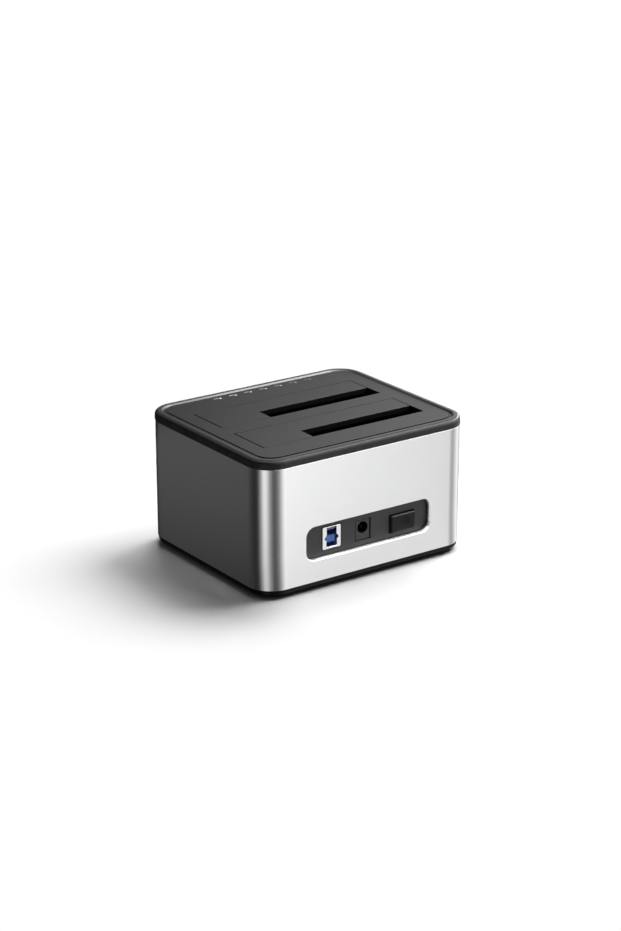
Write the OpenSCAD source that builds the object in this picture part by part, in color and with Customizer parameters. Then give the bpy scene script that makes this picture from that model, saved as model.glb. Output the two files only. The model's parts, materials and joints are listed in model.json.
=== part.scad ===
// Two-bay drive docking station: an aluminium sleeve between a black base and a black rimmed top.
// X runs along the drive slots, -Y is the front with the status lights, +Y the rear with the sockets.
// The origin lies on the table, under the middle of the sleeve.

/* [Sleeve] */
// Width of the aluminium sleeve, along the drive slots
body_w = 134; // [120:0.5:150]
// Depth of the aluminium sleeve, front to rear
body_d = 113.4; // [102:0.2:130]
// Height of the aluminium sleeve
sleeve_h = 66.4; // [62:0.2:80]
// Wall of the aluminium sleeve
sleeve_wall = 2.4; // [1.8:0.1:2.6]
// Outside radius of the sleeve's upright corners
corner_r = 14.4; // [11:0.2:18]

/* [Base] */
// Height from the table to the sleeve's lower edge
base_h = 4.6; // [4.4:0.1:7]
// Height of the gap that the feet keep under the base
foot_proud = 1; // [0.6:0.1:1.6]
// Radius of a rubber foot
foot_r = 6; // [4:0.5:8]
// Depth of the recess that a foot is glued in
foot_seat = 0.8; // [0.4:0.1:1.2]
// Distance of a foot's centre from the sleeve's outer faces
foot_inset = 15.5; // [13:0.5:20]
// Floor of the base
base_floor = 2.4; // [2:0.1:3]
// Rounding of the base's lower edge
base_round = 2.6; // [1.5:0.1:2.7]
// How far the base band stays back from the sleeve's face
base_inset = 0.3; // [0.1:0.1:1]
// Height of the lips that the sleeve slips over
lip_h = 5; // [3:0.5:7]
// Wall of those lips
lip_wall = 1.6; // [1.2:0.1:2]

/* [Top] */
// Height of the black rim above the sleeve
rim_h = 5; // [4.4:0.1:7]
// How far the rim stands proud of the sleeve's face
rim_proud = 0.25; // [0.1:0.05:0.6]
// Width of the rim, seen from above
rim_w = 4.2; // [3.4:0.1:5]
// Rounding of the rim's outer shoulder
shoulder_r = 2; // [0.8:0.1:2.6]
// Fall of the rim's top, from its ridge to the slope along its inner edge
rim_fall = 0.35; // [0.1:0.05:0.6]
// Width of the slope along the rim's inner edge
slope_w = 1.1; // [0.6:0.1:1.4]
// Height of that slope
slope_h = 1; // [0.5:0.1:1.2]
// Drop from the rim to the inlaid plate
plate_drop = 0.8; // [0.3:0.1:1.2]
// Thickness of the inlaid plate and of the flaps
plate_t = 2; // [1.6:0.1:2.4]
// Groove between the rim and the inlaid plate
plate_gap = 0.4; // [0.2:0.05:0.6]

/* [Bays] */
// Distance from the sleeve's -X side to the bays' openings
bay_left = 14; // [13.6:0.1:18]
// Distance from the sleeve's +X side to the bays' openings
bay_right = 16.1; // [14.4:0.1:18]
// Distance from the sleeve's front face to the front bay's opening
bay_front = 23.5; // [22.8:0.1:27]
// Distance from the sleeve's rear face to the rear bay's opening
bay_rear = 22.9; // [22:0.1:27]
// Distance between the openings of the two bays
bay_gap = 11; // [10.4:0.1:14]
// Distance from the end of a slot for small drives to the end of its bay
slot_end = 31.2; // [28:0.2:34]
// Width of the slot for small drives
slot_w = 11.7; // [7.5:0.1:13]
// Gap round a flap
flap_gap = 0.5; // [0.4:0.05:0.7]

/* [Flap hinges] */
// Radius of a hinge pin
pin_r = 0.8; // [0.6:0.05:1]
// Wall of a flap's hinge eye round the pin
eye_wall = 0.85; // [0.6:0.05:1]
// Width of a hinge arm
arm_w = 6; // [4:0.5:8]
// How far an opened flap reaches into the bay's opening
fold_room = 1; // [0.6:0.1:1.4]
// Height of the ribs under a flap
rib_h = 1; // [0.6:0.1:1.2]
// Radius of the spring wire
wire_r = 0.25; // [0.2:0.01:0.28]
// Turns of a flap spring
spring_turns = 6; // [4:1:8]
// Distance between two turns of a flap spring
spring_pitch = 1.05; // [1:0.05:1.2]

/* [Bay guides] */
// Wall of a bay guide
guide_wall = 1.6; // [1.2:0.1:1.8]
// Floor of a bay guide
guide_floor = 2; // [1.6:0.1:2.4]
// Height of a bay guide's floor above the main board
guide_rise = 5; // [4.6:0.1:6]
// Side room between a bay's opening and its guide
side_clear = 0.6; // [0.4:0.1:0.8]
// Radius of the legs that the base is screwed to
leg_r = 3.5; // [3:0.1:3.8]
// Thickness of the ears that the top is screwed to
ear_t = 2; // [1.6:0.1:2.4]
// Distance of an ear's screw from the leg
ear_pitch = 9; // [7.5:0.5:10]

/* [Boards] */
// Height of the main board's upper face above the sleeve's lower edge
board_rise = 15.3; // [14.5:0.1:17]
// Thickness of the main board
board_t = 1.6; // [1:0.1:2]
// Distance of the main board's ends inside the ends of the bays
board_in = 3.5; // [2.5:0.5:8]
// Distance of the main board's front edge from the front of the sleeve
board_front = 19; // [17:0.5:22]
// Height of a drive connector
sata_h = 9; // [8:0.1:10]
// Length of a drive connector
sata_l = 42; // [40:0.5:44]
// Width of a drive connector
sata_w = 6.4; // [6:0.1:7]
// Distance of a drive connector's middle from the end of its bay
sata_x = 34; // [30:0.5:38]
// Distance of a drive connector's middle from the bay's rear edge
sata_y = 4.6; // [4.2:0.1:6]

/* [Rear panel] */
// Distance of the cut-out from the sleeve's sides
cut_side = 26.25; // [24:0.25:28]
// Height of the cut-out in the sleeve
cut_h = 18.5; // [16.5:0.1:22]
// Corner radius of the cut-out
cut_r = 5.4; // [3:0.1:7]
// Height of the cut-out's lower edge below the main board's upper face
cut_below = 3.1; // [1.8:0.1:4]
// Depth of the panel's face behind the sleeve's outer face
panel_recess = 3; // [2.8:0.1:4]
// Thickness of the panel
panel_t = 2; // [1.6:0.1:2.4]
// How far the panel reaches past the cut-out
panel_margin = 3.5; // [2:0.1:4]

/* [Sockets] */
// Place of the data socket along X
usb_x = 22.3; // [20:0.1:25]
// Width of the data socket
usb_w = 11.6; // [11:0.1:12.4]
// Height of the data socket
usb_h = 12.2; // [11.8:0.1:12.6]
// Depth of the data socket
usb_depth = 16.5; // [14:0.5:17]
// Place of the power socket along X
jack_x = 1.9; // [0:0.1:4]
// Width of the power socket
jack_w = 9.2; // [8.6:0.1:10]
// Height of the power socket
jack_h = 11; // [10.5:0.1:12]
// Depth of the power socket
jack_depth = 14; // [12:0.5:16]
// Radius of the power socket's bore
jack_bore_r = 3.2; // [2.9:0.05:3.4]
// Radius of the power socket's centre pin
jack_pin_r = 1.05; // [0.9:0.05:1.3]
// Height of the power socket's bore above the main board
jack_rise = 6.8; // [6.2:0.1:7.2]

/* [Power button] */
// Place of the power button along X
button_x = -23.7; // [-26:0.1:-21]
// Width of the power button
button_w = 15.8; // [14:0.1:17]
// Height of the power button
button_h = 9.8; // [8:0.1:10.4]
// Height of the button's middle above the main board
button_rise = 4.6; // [4.3:0.1:6]
// How far the button stands proud of the panel
button_proud = 1.8; // [1:0.1:2.4]
// Travel of the button
button_travel = 1.4; // [0.8:0.1:1.6]
// Gap round the button in the panel
button_gap = 0.35; // [0.3:0.05:0.5]

/* [Status lights] */
// Distance between two status lights
light_pitch = 10; // [8:0.5:11]
// Middle of the row of lights along X
light_x = -6; // [-8:0.5:4]
// Distance of the row from the sleeve's front face
light_front = 8.7; // [8.4:0.1:10]
// Radius of a light's tip in the plate
light_r = 0.7; // [0.5:0.05:1.2]

/* [Screws] */
// Shank radius of the base screws
base_screw_r = 1.4; // [1.2:0.05:1.6]
// Shank radius of the small screws
small_screw_r = 1; // [0.8:0.05:1.1]

/* [Hidden] */
$fn = 64;

// Clearances
slip = 0.2;
fit = 0.05;
seat = 0.02;
eps = 0.01;
rest_gap = 0.1;
screw_slack = 0.3;
tip_room = 0.3;
over = 1;

// Levels, from the table up
base_z = foot_proud;
floor_z = base_z + base_floor;
sleeve_z = base_h;
lip_z = sleeve_z + lip_h;
deck_z = sleeve_z + sleeve_h;
top_z = deck_z + rim_h;
plate_top_z = top_z - plate_drop;
plate_z = plate_top_z - plate_t;
board_z = sleeve_z + board_rise;
board_under_z = board_z - board_t;
guide_z = board_z + guide_rise;
guide_top_z = guide_z + guide_floor;

// Inside of the sleeve
inner_w = body_w - 2*sleeve_wall;
inner_d = body_d - 2*sleeve_wall;
inner_r = corner_r - sleeve_wall;
lip_w = inner_w - 2*slip;
lip_d = inner_d - 2*slip;
lip_r = inner_r - slip;

// Rim and inlaid plate
rim_outer_w = body_w + 2*rim_proud;
rim_outer_d = body_d + 2*rim_proud;
rim_outer_r = corner_r + rim_proud;
pocket_w = rim_outer_w - 2*rim_w;
pocket_d = rim_outer_d - 2*rim_w;
pocket_r = rim_outer_r - rim_w;
ridge_r = rim_outer_r - shoulder_r;
slope_z = top_z - rim_fall;

// Bays: 0 is the front one, 1 the rear one
bay_x0 = bay_left - body_w/2;
bay_x1 = body_w/2 - bay_right;
bay_x = (bay_x0 + bay_x1)/2;
bay_l = bay_x1 - bay_x0;
bay_w = (body_d - bay_front - bay_rear - bay_gap)/2;
slot_l = bay_l - slot_end;
function bay_y0(bay) = bay_front - body_d/2 + bay*(bay_w + bay_gap);
function bay_y1(bay) = bay_y0(bay) + bay_w;
function bay_mid(bay) = bay_y0(bay) + bay_w/2;

// Hinge of a flap, under the plate behind the bay's front edge
eye_r = pin_r + fit + eye_wall;
hinge_gap = 0.3;
hinge_z = plate_z - hinge_gap - eye_r;
hinge_back = plate_top_z - hinge_z - fold_room;
function hinge_y(bay) = bay_y0(bay) - hinge_back;
arm_reach = 2;
arm_in = 4;
arm_x = [bay_x0 + arm_in, bay_x - arm_w/2, bay_x1 - arm_in - arm_w];

// Flap details
rib_t = 1.2;
rib_in = 1;
tab_l = 14;
tab_t = 1.2;
tab_reach = 0.9;
tab_drop = 8;
tab_side = 1;
tab_root = 2;
tab_in = 8;
tab_x = bay_x0 + slot_l + tab_in;

// Flap spring, on the pin beside the middle arm
coil_clear = 0.3;
coil_in = 2;
coil_r = pin_r + wire_r + coil_clear;
coil_x = arm_x[1] + arm_w + coil_in;
lift_angle = 30;
seat_angle = -30;
spring_sides = 6;
curl_rings = 8;
spring_step = 360/curl_rings;
tongue_l = 5;
tongue_t = 0.9;
tongue_clear = 1;
tongue_x = coil_x - wire_r - tongue_clear;

// Bay guide sections
pocket_clear = 0.5;
fold_clear = 0.5;
pocket_drop = 2;
pocket_slope = 45;
guide_step_z = hinge_z - eye_r - pocket_drop;
guide_x0 = bay_x0 - side_clear;
guide_x1 = bay_x1 + side_clear;
guide_out_x0 = guide_x0 - guide_wall;
guide_out_x1 = guide_x1 + guide_wall;
function guide_pocket_y(bay) = hinge_y(bay) - eye_r - pocket_clear;
function guide_front_y(bay) = hinge_y(bay) + plate_z - rib_h - hinge_z - fold_clear;
function guide_rear_y(bay) = bay_y1(bay) + side_clear;
leg_sink = 0.8;
leg_x = [guide_out_x0 - leg_r + leg_sink, guide_out_x1 + leg_r - leg_sink];
ear_boss_h = 3;
ear_r = 3.2;
ear_trim = 0.3;
ear_x = [guide_out_x0 - ear_r - slip + ear_trim, guide_out_x1 + ear_r + slip - ear_trim];
ear_z = deck_z - ear_boss_h - ear_t;
base_boss_h = 5;
base_boss_z = floor_z + base_boss_h;

// Feet
foot_edge = 0.5;

// Screws
base_head_r = 2*base_screw_r;
base_head_h = 2;
base_head_web = 3.4;
base_head_z = base_boss_z - base_head_web;
boss_wall = 1.4;
base_bite = 9;
small_head_r = 2*small_screw_r;
small_head_h = 1.3;
screw_tip = 0.6;
cover_skin = 0.6;

// Main board
board_x = bay_x;
board_w = bay_l - 2*board_in;
board_y0 = board_front - body_d/2;
board_setback = 3;
panel_y = body_d/2 - panel_recess;
panel_back_y = panel_y - panel_t;
board_y1 = panel_back_y - board_setback;
board_hole_in = 4;
board_hole_x = [board_x - board_w/2 + board_hole_in, board_x + board_w/2 - board_hole_in];
board_hole_y = [board_y0 + board_hole_in, board_y1 - board_hole_in];
standoff_r = 3;
board_bite = 6;

// Drive connectors
function sata_mid_y(bay) = bay_y1(bay) - sata_y;
sata_mid_x = bay_x0 + sata_x;
sata_pitch = 1.27;
sata_slot_w = 2;
sata_slot_depth = 6.6;
data_pins = 7;
power_pins = 15;
sata_slot_end = 1.6;
sata_wall = 3;
data_slot_l = data_pins*sata_pitch + sata_slot_end;
power_slot_l = power_pins*sata_pitch + sata_slot_end;
data_slot_x = sata_mid_x - sata_l/2 + sata_wall;
power_slot_x = sata_mid_x + sata_l/2 - sata_wall - power_slot_l;
sata_top_z = board_z + sata_h;
sata_slot_z = sata_top_z - sata_slot_depth;
key_l = 1.3;
key_w = 1;
contact_w = 0.6;
contact_t = 0.3;
contact_h = 5;

// Rear panel
cut_x = -0.4;
cut_w = body_w - 2*cut_side;
cut_z0 = board_z - cut_below;
cut_mid_z = cut_z0 + cut_h/2;
port_gap = 0.4;
panel_tab = 8;
panel_tab_t = 2;
panel_tab_rise = 2.4;
panel_tab_in = 4;
panel_tab_z = lip_z + panel_tab_rise;
panel_tab_x = [cut_x - cut_w/2 + panel_tab_in, cut_x + cut_w/2 - panel_tab_in];
panel_tab_y = panel_back_y - panel_tab/2;

// Data socket: keyed opening, a wide lower part and a narrow upper part
usb_proud = 0.3;
usb_front_y = panel_y + usb_proud;
usb_wide = 8.8;
usb_narrow = 6.2;
usb_low_z = 1.4;
usb_wide_z = 6;
usb_neck_z = 7.6;
usb_top_wall = 0.45;
usb_high_z = usb_h - usb_top_wall;
usb_cavity = 9.5;
tongue_back = 1;
low_tongue_w = 5.4;
low_tongue_z = 3.3;
low_tongue_h = 3.7;
high_tongue_w = 5.2;
high_tongue_h = 1.2;
high_tongue_gap = 0.5;
high_tongue_z = usb_high_z - high_tongue_gap - high_tongue_h;
usb_leaf_t = 0.2;
usb_leaf_w = 0.8;
usb_leaf_pitch = 2.5;
fast_leaf_w = 0.6;
fast_leaf_pitch = 1;
usb_leaf_back = 0.6;
usb_round = 0.6;

// Power socket
jack_under = 0.4;
jack_front_y = panel_y - jack_under;
jack_bore_depth = 9.5;
jack_pin_back = 1.2;
jack_back_wall = 1;
jack_pin_tip = 0.5;

// Power button
button_z = board_z + button_rise;
button_front_y = panel_y + button_proud;
button_flange = 0.9;
button_flange_t = 0.8;
button_edge = 0.5;
stem_w = 3;
stem_room = 0.4;
switch_w = 8.6;
switch_depth = 9.4;
switch_hole = 6;
switch_setback = 1;
switch_front_y = board_y1 - switch_setback;

// Status lights
light_count = 7;
light_y = light_front - body_d/2;
light_body_r = 1.6;
light_board_gap = 1;
light_board_t = 1;
light_board_z = deck_z - light_board_gap - light_board_t;
light_board_w = 7;
light_board_end = 10.5;
light_board_l = (light_count - 1)*light_pitch + 2*light_board_end;
light_screw_in = 3;
light_screw_x = light_board_l/2 - light_screw_in;
emitter_l = 2;
emitter_w = 1.25;
emitter_h = 0.6;
function light_mid_x(i) = light_x + (light_count + 1 - 2*i)/2*light_pitch;

// Ribbon between the two boards
header_l = 9;
header_w = 4;
header_h = 3;
ribbon_w = 7;
ribbon_t = 0.8;
ribbon_bend = 4;
ribbon_place = 2.5;
ribbon_back = 1.2;
ribbon_x = light_x + ribbon_place*light_pitch;
ribbon_z = board_z + header_h/2;
ribbon_y = light_y + ribbon_back;

// Small pieces on the main board
chip_w = 10;
chip_h = 1.2;
chip_right = 27.4;
chip_front = 15.7;
chip_x = board_x + board_w/2 - chip_right;
chip_y = board_y0 + chip_front;
coil_w = 6;
coil_h = 3;
coil_right = 23.4;
coil_rear = 28.7;
coil_pitch = 12;
capacitor_r = 3.2;
capacitor_h = 7.5;
capacitor_inset = 5.5;
capacitor_gap = 3.2;
capacitor_x = [
    usb_x + usb_w/2 + capacitor_gap + capacitor_r,
    button_x - switch_w/2 - capacitor_gap - capacitor_r
];

// Shapes that repeat

module rounded_rect(w, d, r) {
    difference() {
        square([w, d], center = true);
        for (side_x = [-1, 1], side_y = [-1, 1])
            translate([side_x*(w/2 - r), side_y*(d/2 - r)])
                difference() {
                    translate([side_x > 0 ? 0 : -r - over, side_y > 0 ? 0 : -r - over]) square(r + over);
                    circle(r);
                }
    }
}

// Runs a profile round a rounded rectangle. The profile's x counts from the centre of the corner.
module round_border(w, d, r) {
    for (turn = [0:3])
        rotate(90*turn) {
            reach = turn % 2 == 0 ? w : d;
            run = turn % 2 == 0 ? d : w;
            translate([reach/2 - r, run/2 - r, 0]) rotate_extrude(angle = 90) children();
            translate([reach/2 - r, run/2 - r, 0]) rotate([90, 0, 0]) linear_extrude(run - 2*r) children();
        }
}

module slab(x0, x1, y0, y1, z0, z1) {
    translate([x0, y0, z0]) cube([x1 - x0, y1 - y0, z1 - z0]);
}

// Block of a width and depth centred over a point, from one height to another
module post(x, y, w, d, z0, z1) {
    slab(x - w/2, x + w/2, y - d/2, y + d/2, z0, z1);
}

// Extrudes an outline drawn in Y and Z along X
module along_x(x0, x1) {
    translate([x0, 0, 0]) rotate([90, 0, 90]) linear_extrude(x1 - x0) children();
}

// Extrudes an outline drawn in X and Z along Y
module along_y(y0, y1) {
    translate([0, y1, 0]) rotate([90, 0, 0]) linear_extrude(y1 - y0) children();
}

module rod_x(x0, x1, r) {
    translate([x0, 0, 0]) rotate([0, 90, 0]) cylinder(r = r, h = x1 - x0);
}

module rod_z(r, z0, z1) {
    translate([0, 0, z0]) cylinder(r = r, h = z1 - z0);
}

// Pan-head screw whose head rests on z = 0, with the shank going up
module screw(shank_r, head_r, head_h, length) {
    rod_z(head_r, -head_h, 0);
    rod_z(shank_r, -eps, length - screw_tip);
    translate([0, 0, length - screw_tip]) cylinder(r1 = shank_r, r2 = shank_r/2, h = screw_tip);
}

module at_legs() {
    for (bay = [0, 1], x = leg_x) translate([x, bay_mid(bay), 0]) children();
}

module at_ears(bay) {
    for (x = ear_x, side = [-1, 1]) translate([x, bay_mid(bay) + side*ear_pitch, 0]) children();
}

module at_board_holes() {
    for (x = board_hole_x, y = board_hole_y) translate([x, y, 0]) children();
}

module at_feet() {
    for (side_x = [-1, 1], side_y = [-1, 1])
        translate([side_x*(body_w/2 - foot_inset), side_y*(body_d/2 - foot_inset), 0]) children();
}

module at_panel_tabs() {
    for (x = panel_tab_x) translate([x, panel_tab_y, 0]) children();
}

module at_light_screws() {
    for (side = [-1, 1]) translate([light_x + side*light_screw_x, light_y, 0]) children();
}

module at_lights() {
    for (i = [1:light_count]) translate([light_mid_x(i), light_y, 0]) children();
}

// Base

module base_profile() {
    r = corner_r - base_inset;
    difference() {
        translate([0, base_z]) square([r, sleeve_z - base_z]);
        translate([r - base_round, base_z])
            difference() {
                translate([0, -over]) square([base_round + over, base_round + over]);
                translate([0, base_round]) circle(base_round);
            }
    }
}

module base_cover() {
    w = body_w - 2*base_inset;
    d = body_d - 2*base_inset;
    r = corner_r - base_inset;
    color("#161618") difference() {
        union() {
            difference() {
                union() {
                    round_border(w, d, r) base_profile();
                    slab(-w/2 + r, w/2 - r, -d/2 + r, d/2 - r, base_z, sleeve_z);
                    translate([0, 0, floor_z]) linear_extrude(lip_z - floor_z)
                        rounded_rect(lip_w, lip_d, lip_r);
                }
                translate([0, 0, floor_z]) linear_extrude(lip_z)
                    rounded_rect(lip_w - 2*lip_wall, lip_d - 2*lip_wall, lip_r - lip_wall);
            }
            at_legs() rod_z(base_head_r + boss_wall, floor_z - eps, base_boss_z);
            at_board_holes() rod_z(standoff_r, floor_z - eps, board_under_z);
            at_panel_tabs() rod_z(standoff_r, floor_z - eps, panel_tab_z);
        }
        at_feet() rod_z(foot_r + fit, base_z - over, base_z + foot_seat);
        at_legs() {
            rod_z(base_head_r + screw_slack, base_z - over, base_head_z);
            rod_z(base_screw_r + screw_slack, base_z, base_boss_z + over);
        }
        at_board_holes() rod_z(small_screw_r + seat, board_under_z - board_bite, board_under_z + over);
        at_panel_tabs() rod_z(small_screw_r + seat, panel_tab_z - board_bite, panel_tab_z + over);
    }
}

module rubber_foot(i) {
    side_x = i % 2 == 1 ? -1 : 1;
    side_y = i < 3 ? -1 : 1;
    top = base_z + foot_seat;
    color("#0c0c0c") translate([side_x*(body_w/2 - foot_inset), side_y*(body_d/2 - foot_inset), 0])
        rotate_extrude()
            polygon([[0, 0], [foot_r - foot_edge, 0], [foot_r, foot_edge], [foot_r, top], [0, top]]);
}

module base_screws() {
    color("#55585c") at_legs() translate([0, 0, base_head_z])
        screw(base_screw_r, base_head_r, base_head_h, base_head_web + base_bite - tip_room);
}

// Sleeve

module aluminium_sleeve() {
    color("#c9cbcd") difference() {
        translate([0, 0, sleeve_z]) linear_extrude(sleeve_h) difference() {
            rounded_rect(body_w, body_d, corner_r);
            rounded_rect(inner_w, inner_d, inner_r);
        }
        along_y(body_d/2 - sleeve_wall - over, body_d/2 + over)
            translate([cut_x, cut_mid_z]) rounded_rect(cut_w, cut_h, cut_r);
    }
}

// Top

module rim_profile() {
    difference() {
        translate([0, deck_z]) square([rim_outer_r, rim_h]);
        translate([ridge_r, top_z - shoulder_r])
            difference() {
                square(shoulder_r + over);
                circle(shoulder_r);
            }
        polygon([
            [ridge_r, top_z + over],
            [ridge_r, top_z],
            [pocket_r + slope_w, slope_z],
            [pocket_r, slope_z - slope_h],
            [pocket_r - over, slope_z - slope_h],
            [pocket_r - over, top_z + over]
        ]);
    }
}

module bay_hole(bay) {
    slab(guide_out_x0 - slip, guide_out_x1 + slip, guide_pocket_y(bay) - guide_wall - slip,
        guide_rear_y(bay) + guide_wall + slip, deck_z - over, plate_z + over);
}

module top_cover() {
    color("#131315") difference() {
        union() {
            round_border(rim_outer_w, rim_outer_d, rim_outer_r) rim_profile();
            slab(-rim_outer_w/2 + rim_outer_r, rim_outer_w/2 - rim_outer_r, -rim_outer_d/2 + rim_outer_r,
                rim_outer_d/2 - rim_outer_r, deck_z, top_z);
            translate([0, 0, deck_z - lip_h]) linear_extrude(lip_h + eps) difference() {
                rounded_rect(lip_w, lip_d, lip_r);
                rounded_rect(lip_w - 2*lip_wall, lip_d - 2*lip_wall, lip_r - lip_wall);
            }
            for (bay = [0, 1]) at_ears(bay) rod_z(ear_r, deck_z - ear_boss_h, deck_z + eps);
            at_light_screws() rod_z(small_head_r, deck_z - light_board_gap, deck_z + eps);
        }
        translate([0, 0, plate_z]) linear_extrude(top_z) rounded_rect(pocket_w, pocket_d, pocket_r);
        for (bay = [0, 1]) {
            bay_hole(bay);
            at_ears(bay) rod_z(small_screw_r + seat, deck_z - ear_boss_h - over, plate_z - cover_skin);
        }
        at_lights() rod_z(light_body_r + fit, deck_z - over, plate_z + over);
        at_light_screws()
            rod_z(small_screw_r + seat, deck_z - light_board_gap - over, plate_z - cover_skin);
    }
}

module top_plate() {
    w = pocket_w - 2*plate_gap;
    d = pocket_d - 2*plate_gap;
    color("#4b4c4e") difference() {
        translate([0, 0, plate_z]) linear_extrude(plate_t) rounded_rect(w, d, pocket_r - plate_gap);
        for (bay = [0, 1])
            slab(bay_x0, bay_x1, bay_y0(bay), bay_y1(bay), plate_z - over, plate_top_z + over);
        at_lights() rod_z(light_r + fit, plate_z - over, plate_top_z + over);
    }
}

// Flaps and their hinges

// Outline of a hinge arm, from the pin's centre
module arm_outline() {
    root = hinge_back + flap_gap;
    under = plate_z - hinge_z;
    polygon([
        [0, 0], [eye_r, 0], [root + arm_reach, under], [root + arm_reach, under + eps],
        [root, under + eps], [root, eye_r], [0, eye_r]
    ]);
}

module flap(bay) {
    x0 = bay_x0 + flap_gap;
    x1 = bay_x1 - flap_gap;
    y0 = bay_y0(bay) + flap_gap;
    y1 = bay_y1(bay) - flap_gap;
    notch_x = bay_x0 + slot_l;
    notch_y = bay_y1(bay) - slot_w;
    rib_y0 = y0 + arm_reach + rib_in;
    color("#4b4c4e") difference() {
        union() {
            slab(x0, x1, y0, notch_y, plate_z, plate_top_z);
            slab(notch_x, x1, y0, y1, plate_z, plate_top_z);
            slab(x0 + rib_in, x1 - rib_in, notch_y - rib_t, notch_y, plate_z - rib_h, plate_z + eps);
            slab(notch_x, notch_x + rib_t, notch_y - rib_t, y1 - rib_in, plate_z - rib_h, plate_z + eps);
            for (x = [x0 + rib_in, notch_x, x1 - rib_in - rib_t])
                slab(x, x + rib_t, rib_y0, notch_y, plate_z - rib_h, plate_z + eps);
            slab(x1 - rib_in - rib_t, x1 - rib_in, notch_y - rib_t, y1 - rib_in,
                plate_z - rib_h, plate_z + eps);
            slab(tab_x, tab_x + tab_l, y1 - tab_root, y1, plate_z - rest_gap - tab_t, plate_z + eps);
            slab(tab_x, tab_x + tab_l, y1 - tab_root, bay_y1(bay) + tab_reach,
                plate_z - rest_gap - tab_t, plate_z - rest_gap);
            for (x = arm_x) {
                along_x(x, x + arm_w) translate([hinge_y(bay), hinge_z]) arm_outline();
                translate([0, hinge_y(bay), hinge_z]) rod_x(x, x + arm_w, eye_r);
            }
            slab(tongue_x, tongue_x + tongue_l, hinge_y(bay) + coil_r + tongue_clear, y0 + arm_reach,
                plate_z - hinge_gap - tongue_t, plate_z - hinge_gap);
            slab(tongue_x, tongue_x + tongue_l, y0, y0 + arm_reach, plate_z - hinge_gap - eps, plate_z + eps);
        }
        translate([0, hinge_y(bay), hinge_z]) rod_x(x0 - over, x1 + over, pin_r + fit);
    }
}

module hinge_pin(bay) {
    color("#b9bcc0") translate([0, hinge_y(bay), hinge_z])
        rod_x(guide_out_x0, guide_out_x1, pin_r);
}

// Path of a flap spring about the pin: a leg that lifts the flap, the curls, and a leg seated on the guide
curl_start = lift_angle - 90;
lift_leg = (eye_r - tongue_t - rest_gap - wire_r + coil_r*cos(lift_angle))/sin(lift_angle);
seat_drop = eye_r + pocket_clear + hinge_z - guide_step_z - (wire_r + rest_gap)/cos(pocket_slope);
seat_leg = (seat_drop + coil_r*(cos(seat_angle) + sin(seat_angle)))/(cos(seat_angle) - sin(seat_angle));
curl_sweep = 360*spring_turns + curl_start - seat_angle;
curl_steps = ceil(curl_sweep/spring_step);
function curl_point(angle, x) = [x, coil_r*cos(angle), coil_r*sin(angle)];
function curl_turned(k) = curl_sweep*k/curl_steps;
function curl_at(k) = curl_point(curl_start - curl_turned(k), coil_x + spring_pitch*curl_turned(k)/360);
function leg_along(angle) = [0, sin(angle), -cos(angle)];
spring_path = concat(
    [curl_at(0) - lift_leg*leg_along(curl_start), curl_at(0) - lift_leg/2*leg_along(curl_start)],
    [for (k = [0:curl_steps]) curl_at(k)],
    [for (s = [0.5, 1]) curl_at(curl_steps) + s*seat_leg*leg_along(curl_start - curl_sweep)]
);
function unit(v) = v/norm(v);
function tangent(path, i) = unit(path[min(i + 1, len(path) - 1)] - path[max(i - 1, 0)]);
function across(t) = unit([1, 0, 0] - t[0]*t);
function tube_points(path, r, sides) = [
    for (i = [0:len(path) - 1])
        let (t = tangent(path, i), a = across(t), b = cross(t, a))
        for (s = [0:sides - 1]) path[i] + r*(cos(360*s/sides)*a + sin(360*s/sides)*b)
];
function tube_faces(rings, sides) = concat(
    [for (s = [1:sides - 2]) [0, s, s + 1]],
    [for (s = [1:sides - 2]) [(rings - 1)*sides, (rings - 1)*sides + s + 1, (rings - 1)*sides + s]],
    [for (i = [0:rings - 2], s = [0:sides - 1])
        each let (n = (s + 1) % sides, a = i*sides + s, b = i*sides + n)
            [[a, a + sides, b], [b, a + sides, b + sides]]]
);
spring_gap = min([
    for (i = [0:len(spring_path) - 1], j = [0:len(spring_path) - 1])
        if (j - i > curl_rings/2) norm(spring_path[i] - spring_path[j]) - 2*wire_r
]);
echo(spring_gap = spring_gap);

module flap_spring(bay) {
    color("#c4c7ca") translate([0, hinge_y(bay), hinge_z])
        polyhedron(
            tube_points(spring_path, wire_r, spring_sides),
            tube_faces(len(spring_path), spring_sides)
        );
}

// Bay guides

module guide_outline(bay) {
    lean = guide_front_y(bay) - guide_pocket_y(bay);
    polygon([
        [guide_pocket_y(bay) - guide_wall, plate_z],
        [guide_rear_y(bay) + guide_wall, plate_z],
        [guide_rear_y(bay) + guide_wall, guide_z],
        [guide_front_y(bay) - guide_wall, guide_z],
        [guide_front_y(bay) - guide_wall, guide_step_z - guide_wall - lean*tan(pocket_slope)],
        [guide_pocket_y(bay) - guide_wall, guide_step_z - guide_wall]
    ]);
}

module guide_hollow(bay) {
    lean = guide_front_y(bay) - guide_pocket_y(bay);
    polygon([
        [guide_pocket_y(bay), plate_z + over],
        [guide_rear_y(bay), plate_z + over],
        [guide_rear_y(bay), guide_top_z],
        [guide_front_y(bay), guide_top_z],
        [guide_front_y(bay), guide_step_z - lean*tan(pocket_slope)],
        [guide_pocket_y(bay), guide_step_z]
    ]);
}

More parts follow.
